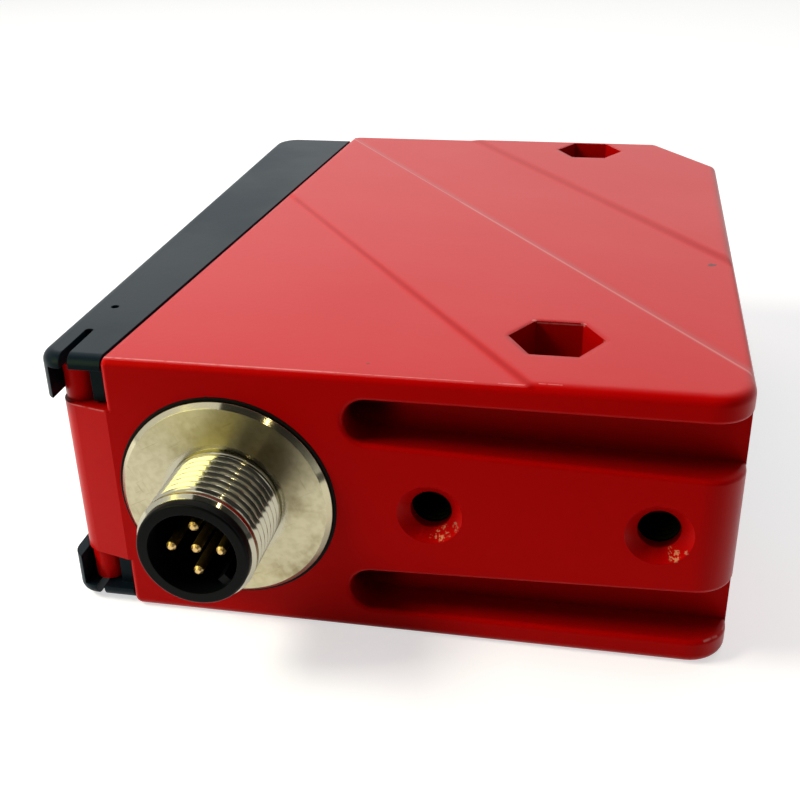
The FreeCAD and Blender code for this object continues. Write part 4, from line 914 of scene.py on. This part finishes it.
@dataclass(frozen=True)
class Thread:
    """A screw thread, in millimetres, that runs out to a plain radius at both ends."""

    crest: float
    root: float
    plain: float
    pitch: float
    first: float
    last: float
    crest_flat: float = 0.12
    flank_run: float = 0.66
    rows_to_pitch: int = 16

    def radius(self, along: float, angle: float) -> float:
        """Works out the radius of the ridge at one place.

        Args:
            along: the place along the axis.
            angle: the angle around it, in radians.

        Returns:
            The radius.
        """
        turn = (along / self.pitch + angle / math.tau) % 1.0
        flank = abs(turn - 0.5) * 2.0
        cut = min(max((flank - self.crest_flat) / self.flank_run, 0.0), 1.0)
        fade = min((along - self.first) / self.pitch, (self.last - along) / self.pitch, 1.0)
        ridge = self.crest + (self.root - self.crest) * cut
        return self.plain + (ridge - self.plain) * max(fade, 0.0)

    def stations(self) -> list[Station]:
        """Spaces rings closely enough to draw the ridges.

        Returns:
            The rings, in order.
        """
        count = round((self.last - self.first) / self.pitch * self.rows_to_pitch)
        step = (self.last - self.first) / count
        return [Station(self.crest, self.first + step * index, True) for index in range(count + 1)]


def turned_piece(name: str, rings: list[Station], centre: Vector, thread: Thread | None = None,
                 sides: int = 144) -> bpy.types.Object:
    """Turns a profile about an axis along Y.

    Args:
        name: the piece's name.
        rings: the closed profile, in order.
        centre: a point of the axis, in metres, which becomes the piece's origin.
        thread: the thread of the rings that are marked as threaded.
        sides: corners of each ring.

    Returns:
        The piece.
    """
    corners = []
    for ring in rings:
        for side in range(sides):
            angle = math.tau * side / sides
            radius = thread.radius(ring.along, angle) if thread and ring.threaded else ring.radius
            corners.append((radius * math.cos(angle) * MM, ring.along * MM, radius * math.sin(angle) * MM))
    faces = []
    for row in range(len(rings)):
        here, after = row * sides, (row + 1) % len(rings) * sides
        for side in range(sides):
            beside = (side + 1) % sides
            faces.append((here + side, here + beside, after + beside, after + side))
    mesh = bpy.data.meshes.new(name)
    mesh.from_pydata(corners, [], faces)
    mesh.shade_smooth()
    mesh.set_sharp_from_angle(angle=SHARP_ANGLE)
    piece = bpy.data.objects.new(name, mesh)
    piece.location = centre
    bpy.context.scene.collection.objects.link(piece)
    return piece


def mount(name: str) -> dict:
    """Finds a mount in the record by its name."""
    return next(item for item in frame["record"]["mounts"] if item["name"] == name)


def add_piece(piece: bpy.types.Object, finish: Finish) -> None:
    """Finishes a new piece and lets it ride with the sensor.

    Args:
        piece: the new piece.
        finish: its finish.
    """
    piece.data.materials.append(finish.material())
    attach(piece, ROOT_BODY)
    LOG.info("added %s with %s", piece.name, finish.name)


@dataclass
class Housing:
    """The painted casting and the bare threads of its two tapped holes, coloured near black as painted shade.
    """

    thread_wall: float = 2.08
    thread_crest: float = 1.9
    thread_pitch: float = 0.8
    thread_start: float = 2.2
    thread_end: float = 7.3
    thread_inset: float = 0.01
    thread_sides: int = 72

    def build(self) -> None:
        """Dresses the casting and threads its holes."""
        dress(CASTING_RED, "housing")
        holes = mount("end_threads")
        half = holes["dims"]["spacing_x_mm"] / 2 * MM
        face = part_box("housing")[0].y
        for number, side in enumerate((-1, 1), start=1):
            centre = Vector((holes["pos_m"][0] + half * side, face, holes["pos_m"][2]))
            self.tapped_hole(f"tapped_thread_{number}", centre)

    def tapped_hole(self, name: str, centre: Vector) -> None:
        """Adds the ridges of one tapped hole, just inside its wall.

        Args:
            name: the piece's name.
            centre: the middle of the hole's mouth.
        """
        wall = self.thread_wall
        root = wall - self.thread_inset
        thread = Thread(self.thread_crest, root, root, self.thread_pitch, self.thread_start, self.thread_end)
        rings = [Station(wall, self.thread_start), *thread.stations(), Station(wall, self.thread_end)]
        piece = turned_piece(name, rings, centre, thread, self.thread_sides)
        # near black as painted shade inside the hole
        add_piece(piece, THREAD_SHADE)


@dataclass
class FrontEnd:
    """The clip-on frame with the glass and seal behind it."""

    def build(self) -> None:
        """Dresses the frame, glass and seal."""
        dress(FRAME_BLACK, "front_frame")
        dress(WINDOW_GLASS, "front_window")
        dress(SEAL_RUBBER, "window_seal")


@dataclass
class PlugConnector:
    """The round plug: its turned and threaded shell, insert, pins and what is behind them."""

    pitch: float = 1.0
    thread_depth: float = 0.58
    thread_clear: float = 0.35
    plain_tip: float = 0.75
    tip_chamfer: float = 0.35
    flange_chamfer: float = 0.5
    neck: float = 0.25
    neck_start: float = 0.6
    bore: float = 5.05
    spigot: float = 7.0
    flange_back: float = 0.6
    tail: float = 6.8
    lip_gap: float = 0.02
    lip_width: float = 0.36
    lip_height: float = 0.12
    lip_profile: tuple[Span, ...] = ((0.0, 0.05), (0.0, 0.7), (0.3, 1.0), (0.75, 0.8), (1.0, 0.05))
    pins: int = 5

    def build(self) -> None:
        """Replaces the plain shell with a threaded one and dresses the rest."""
        self.shell()
        dress(INSERT_BLACK, "connector_insert")
        dress(CONTACT_GOLD, *(f"contact_pin_{number}" for number in range(1, self.pins + 1)))
        dress(SEAL_RUBBER, "connector_seal")
        dress(FASTENER_STEEL, "connector_nut")
        dress(BOARD_GREEN, "connector_board")
        dress(RIBBON_AMBER, "connector_ribbon")

    def shell(self) -> None:
        """Turns the flange and the threaded barrel as one piece."""
        low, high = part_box("connector_shell")
        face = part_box("housing")[0].y
        barrel = mount("plug_thread")
        centre = Vector(((low.x + high.x) / 2, face, (low.z + high.z) / 2))
        flange = (high.x - low.x) / 2 / MM
        crest = barrel["dims"]["r_mm"]
        tip = (low.y - face) / MM
        rise = barrel["pos_m"][1] / MM + barrel["dims"]["length_mm"] / 2 - face / MM
        thread = Thread(crest, crest - self.thread_depth, crest, self.pitch, tip + self.plain_tip,
                        rise - self.thread_clear)
        rings = [
            Station(self.bore, self.tail), Station(self.bore, tip),
            Station(crest - self.tip_chamfer, tip), Station(crest, tip + self.tip_chamfer),
            *thread.stations(),
            Station(crest - self.neck, rise - self.thread_clear * self.neck_start),
            Station(crest - self.neck, rise),
            Station(flange - self.flange_chamfer, rise), Station(flange, rise + self.flange_chamfer),
            Station(flange, self.flange_back), Station(self.spigot, self.flange_back),
            Station(self.spigot, self.tail),
        ]
        piece = turned_piece("threaded_shell", rings, centre, thread)
        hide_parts("connector_shell")
        add_piece(piece, NICKEL)
        self.lip(centre, flange)

    def lip(self, centre: Vector, flange: float) -> None:
        """Lets the edge of the seal show as a black rubber lip around the flange, which also stands in as
        painted shadow of the gap there.

        Args:
            centre: where the plug's axis meets the housing's face.
            flange: radius of the flange, in millimetres.
        """
        inner = flange + self.lip_gap
        rings = [Station(inner + across * self.lip_width, -rise * self.lip_height)
                 for across, rise in self.lip_profile]
        add_piece(turned_piece("seal_lip_and_gap_shade", rings, centre), SEAL_RUBBER)


@dataclass
class Optics:
    """Carrier, lenses, laser and detector behind the glass."""

    def build(self) -> None:
        """Dresses the optical pieces."""
        dress(CARRIER_BLACK, "optics_carrier")
        dress(OPTIC_GLASS, "receiver_lens", "transmitter_lens")
        dress(BARREL_ALUMINIUM, "receiver_ring", "transmitter_barrel", "transmitter_ring")
        dress(FASTENER_STEEL, "carrier_screws", "detector_screws", "laser_diode")
        dress(BOARD_GREEN, "laser_board", "detector_board")
        dress(CHIP_BLACK, "line_detector")


@dataclass
class Electronics:
    """The main board and the parts that stand tallest on it."""

    def build(self) -> None:
        """Dresses the board and its parts."""
        dress(BOARD_GREEN, "main_board")
        dress(FASTENER_STEEL, "board_screws")
        dress(CHIP_BLACK, "processor", "power_inductor", "board_link")
        dress(BARREL_ALUMINIUM, "filter_capacitor")


@dataclass
class ControlPanel:
    """The rear panel with its display, lamps and keys."""

    def build(self) -> None:
        """Dresses the panel's pieces."""
        dress(PANEL_BLACK, "control_panel")
        dress(SEAL_RUBBER, "panel_seal")
        dress(FASTENER_STEEL, "panel_screws", "panel_board_screws")
        dress(DISPLAY_SMOKE, "display_window")
        dress(CHIP_BLACK, "display_module")
        dress(BOARD_GREEN, "panel_board")
        dress(GUIDE_CLEAR, "status_guide_1", "status_guide_2")
        dress(LAMP_WHITE, "status_lamp_1", "status_lamp_2")
        for key in ("menu", "enter"):
            dress(KEY_GREY, f"{key}_key")
            dress(CHIP_BLACK, f"{key}_plunger", f"{key}_switch")


class Shows(Enum):
    """What a lamp shows in."""

    ALL = "all"
    GLOSSY = "glossy"
    MATT = "matt"


@dataclass(frozen=True)
class Softbox:
    """One soft lamp, in metres, aimed at the sensor."""

    name: str
    place: Point
    width: float
    height: float
    colour: tuple[float, float, float]
    radiance: float
    shows: Shows = Shows.ALL

    def build(self) -> None:
        """Adds the lamp."""
        lamp = bpy.data.lights.new(self.name, "AREA")
        lamp.shape = "RECTANGLE"
        lamp.size = self.width
        lamp.size_y = self.height
        lamp.color = self.colour
        lamp.energy = self.radiance * math.pi * self.width * self.height
        item = bpy.data.objects.new(self.name, lamp)
        item.location = self.place
        item.rotation_euler = (-Vector(self.place)).to_track_quat("-Z", "Y").to_euler()
        item.visible_diffuse = self.shows is not Shows.GLOSSY
        item.visible_glossy = self.shows is not Shows.MATT
        bpy.context.scene.collection.objects.link(item)


@dataclass
class Studio:
    """Floor, dark card and mat, lamps, white surroundings and the camera."""

    floor_reach: float = 3.0
    floor_colour: Colour = rgb(0.7, 0.7, 0.7)
    floor_lift: float = 0.6
    floor_roughness: float = 0.9
    surround: float = 0.2
    card_left: float = -0.2
    card_right: float = 0.8
    card_front: float = -0.45
    card_bend: float = 0.42
    card_rear: float = -0.1
    card_top: float = 0.75
    card_colour: Colour = rgb(0.02, 0.02, 0.02)
    mat_left: float = -0.2
    mat_rear: float = -0.095
    mat_lift: float = 0.0005
    camera_place: Point = (0.00529, -0.14119, 0.06109)
    camera_turn: float = -11.571
    camera_dip: float = 26.937
    camera_roll: float = -1.285
    camera_lens: float = 51.0
    camera_sensor: float = 36.0
    camera_near: float = 0.005
    lamps: tuple[Softbox, ...] = (
        Softbox("top_softbox", (-0.03, 0.2, 0.6), 0.8, 0.4, (0.98, 0.99, 1.0), radiance=1.4),
        Softbox("key_softbox", (-0.34, -0.1, 0.3), 0.2, 0.1, (1.0, 0.96, 0.82), radiance=27.0,
                shows=Shows.MATT),
        Softbox("back_card", (0.0, 0.7, 0.46), 1.2, 0.3, (1.0, 1.0, 1.0), radiance=1.1,
                shows=Shows.GLOSSY),
        Softbox("warm_card", (-0.3, -0.44, 0.2), 0.42, 0.36, (1.0, 0.94, 0.22), radiance=3.8,
                shows=Shows.GLOSSY),
        Softbox("small_lamp", (0.13, -0.32, 0.33), 0.02, 0.02, (1.0, 0.83, 0.45), radiance=80.0,
                shows=Shows.GLOSSY),
    )

    def build(self) -> None:
        """Sets the whole stage."""
        self.floor()
        self.dark_cards()
        self.surroundings()
        for lamp in self.lamps:
            lamp.build()
        self.camera()
        bpy.context.scene.view_settings.view_transform = "Standard"

    @staticmethod
    def seen_directly(graph: Graph) -> Socket:
        """Tells which rays see the background, straight or by way of metal and glass.

        Args:
            graph: the nodes of the floor or the surroundings.

        Returns:
            1 on those rays and 0 on others.
        """
        path = graph.node("ShaderNodeLightPath")
        mirror = graph.math("MAXIMUM", path.outputs["Is Glossy Ray"], path.outputs["Is Transmission Ray"])
        return graph.math("MAXIMUM", path.outputs["Is Camera Ray"], mirror)

    @staticmethod
    def sheet(name: str, left: float, right: float, bends: list[Span]) -> bpy.types.Object:
        """Adds a stage piece: a sheet across X that may be bent.

        Args:
            name: its name.
            left: its lowest X, in metres.
            right: its highest X, in metres.
            bends: Y and Z of its two ends and of each bend between them, in metres.

        Returns:
            The piece.
        """
        corners = [(x, *bend) for bend in bends for x in (left, right)]
        faces = [(start, start + 1, start + 3, start + 2) for start in range(0, len(corners) - 2, 2)]
        mesh = bpy.data.meshes.new(name)
        mesh.from_pydata(corners, [], faces)
        item = bpy.data.objects.new(name, mesh)
        bpy.context.scene.collection.objects.link(item)
        return item

    def floor(self) -> None:
        """Adds the pale floor, a little brighter where it is seen."""
        reach, level = self.floor_reach, CAD_BOX[0].z
        item = self.sheet("floor", -reach, reach, [(-reach, level), (reach, level)])
        made = bpy.data.materials.new("floor_white")
        made.use_nodes = True
        graph = Graph(made.node_tree)
        graph.fill(made.node_tree.nodes["Principled BSDF"], {
            "Base Color": self.floor_colour,
            "Roughness": self.floor_roughness,
            "Specular IOR Level": 0.0,
            "Emission Color": WHITE,
            "Emission Strength": graph.times(self.seen_directly(graph), self.floor_lift),
        })
        item.data.materials.append(made)

    def dark_cards(self) -> None:
        """Adds a dark card in front and overhead, and a mat before it, for metal and paint to reflect."""
        low = CAD_BOX[0].z + self.mat_lift
        front = (self.card_front, low)
        bend = (self.card_front, self.card_bend)
        top = (self.card_rear, self.card_top)
        card = self.sheet("dark_card", self.card_left, self.card_right, [front, bend, top])
        mat = self.sheet("dark_mat", self.mat_left, self.card_right, [front, (self.mat_rear, low)])
        made = bpy.data.materials.new("card_black")
        made.use_nodes = True
        made.node_tree.nodes["Principled BSDF"].inputs["Base Color"].default_value = self.card_colour
        for item in (card, mat):
            item.data.materials.append(made)
            item.visible_camera = False
        mat.visible_diffuse = False
        mat.visible_transmission = False
        mat.visible_shadow = False

    def surroundings(self) -> None:
        """Makes the surroundings white where they are seen and dimmer as light."""
        world = bpy.data.worlds.new("studio")
        bpy.context.scene.world = world
        world.use_nodes = True
        graph = Graph(world.node_tree)
        strength = graph.between(self.seen_directly(graph), self.surround, 1.0)
        graph.fill(world.node_tree.nodes["Background"], {"Color": WHITE, "Strength": strength})

    def camera(self) -> None:
        """Stands the camera at the photograph's viewpoint."""
        turn = math.radians(self.camera_turn)
        dip = math.radians(self.camera_dip)
        roll = math.radians(self.camera_roll)
        look = Vector((math.sin(turn) * math.cos(dip), math.cos(turn) * math.cos(dip), -math.sin(dip)))
        right = look.cross(Vector((0.0, 0.0, 1.0))).normalized()
        above = right.cross(look)
        across = right * math.cos(roll) + above * math.sin(roll)
        upward = above * math.cos(roll) - right * math.sin(roll)
        lens = bpy.data.cameras.new("camera")
        lens.lens = self.camera_lens
        lens.sensor_width = self.camera_sensor
        lens.clip_start = self.camera_near
        item = bpy.data.objects.new("camera", lens)
        facing = Matrix((across, upward, -look)).transposed().to_4x4()
        item.matrix_world = Matrix.Translation(self.camera_place) @ facing
        bpy.context.scene.collection.objects.link(item)
        bpy.context.scene.camera = item


def main() -> None:
    """Builds every sub-assembly and the studio."""
    logging.basicConfig(level=logging.INFO)
    for assembly in (Housing(), FrontEnd(), PlugConnector(), Optics(), Electronics(), ControlPanel()):
        LOG.info("building %s", type(assembly).__name__)
        assembly.build()
    Studio().build()


if __name__ == "__main__":
    main()
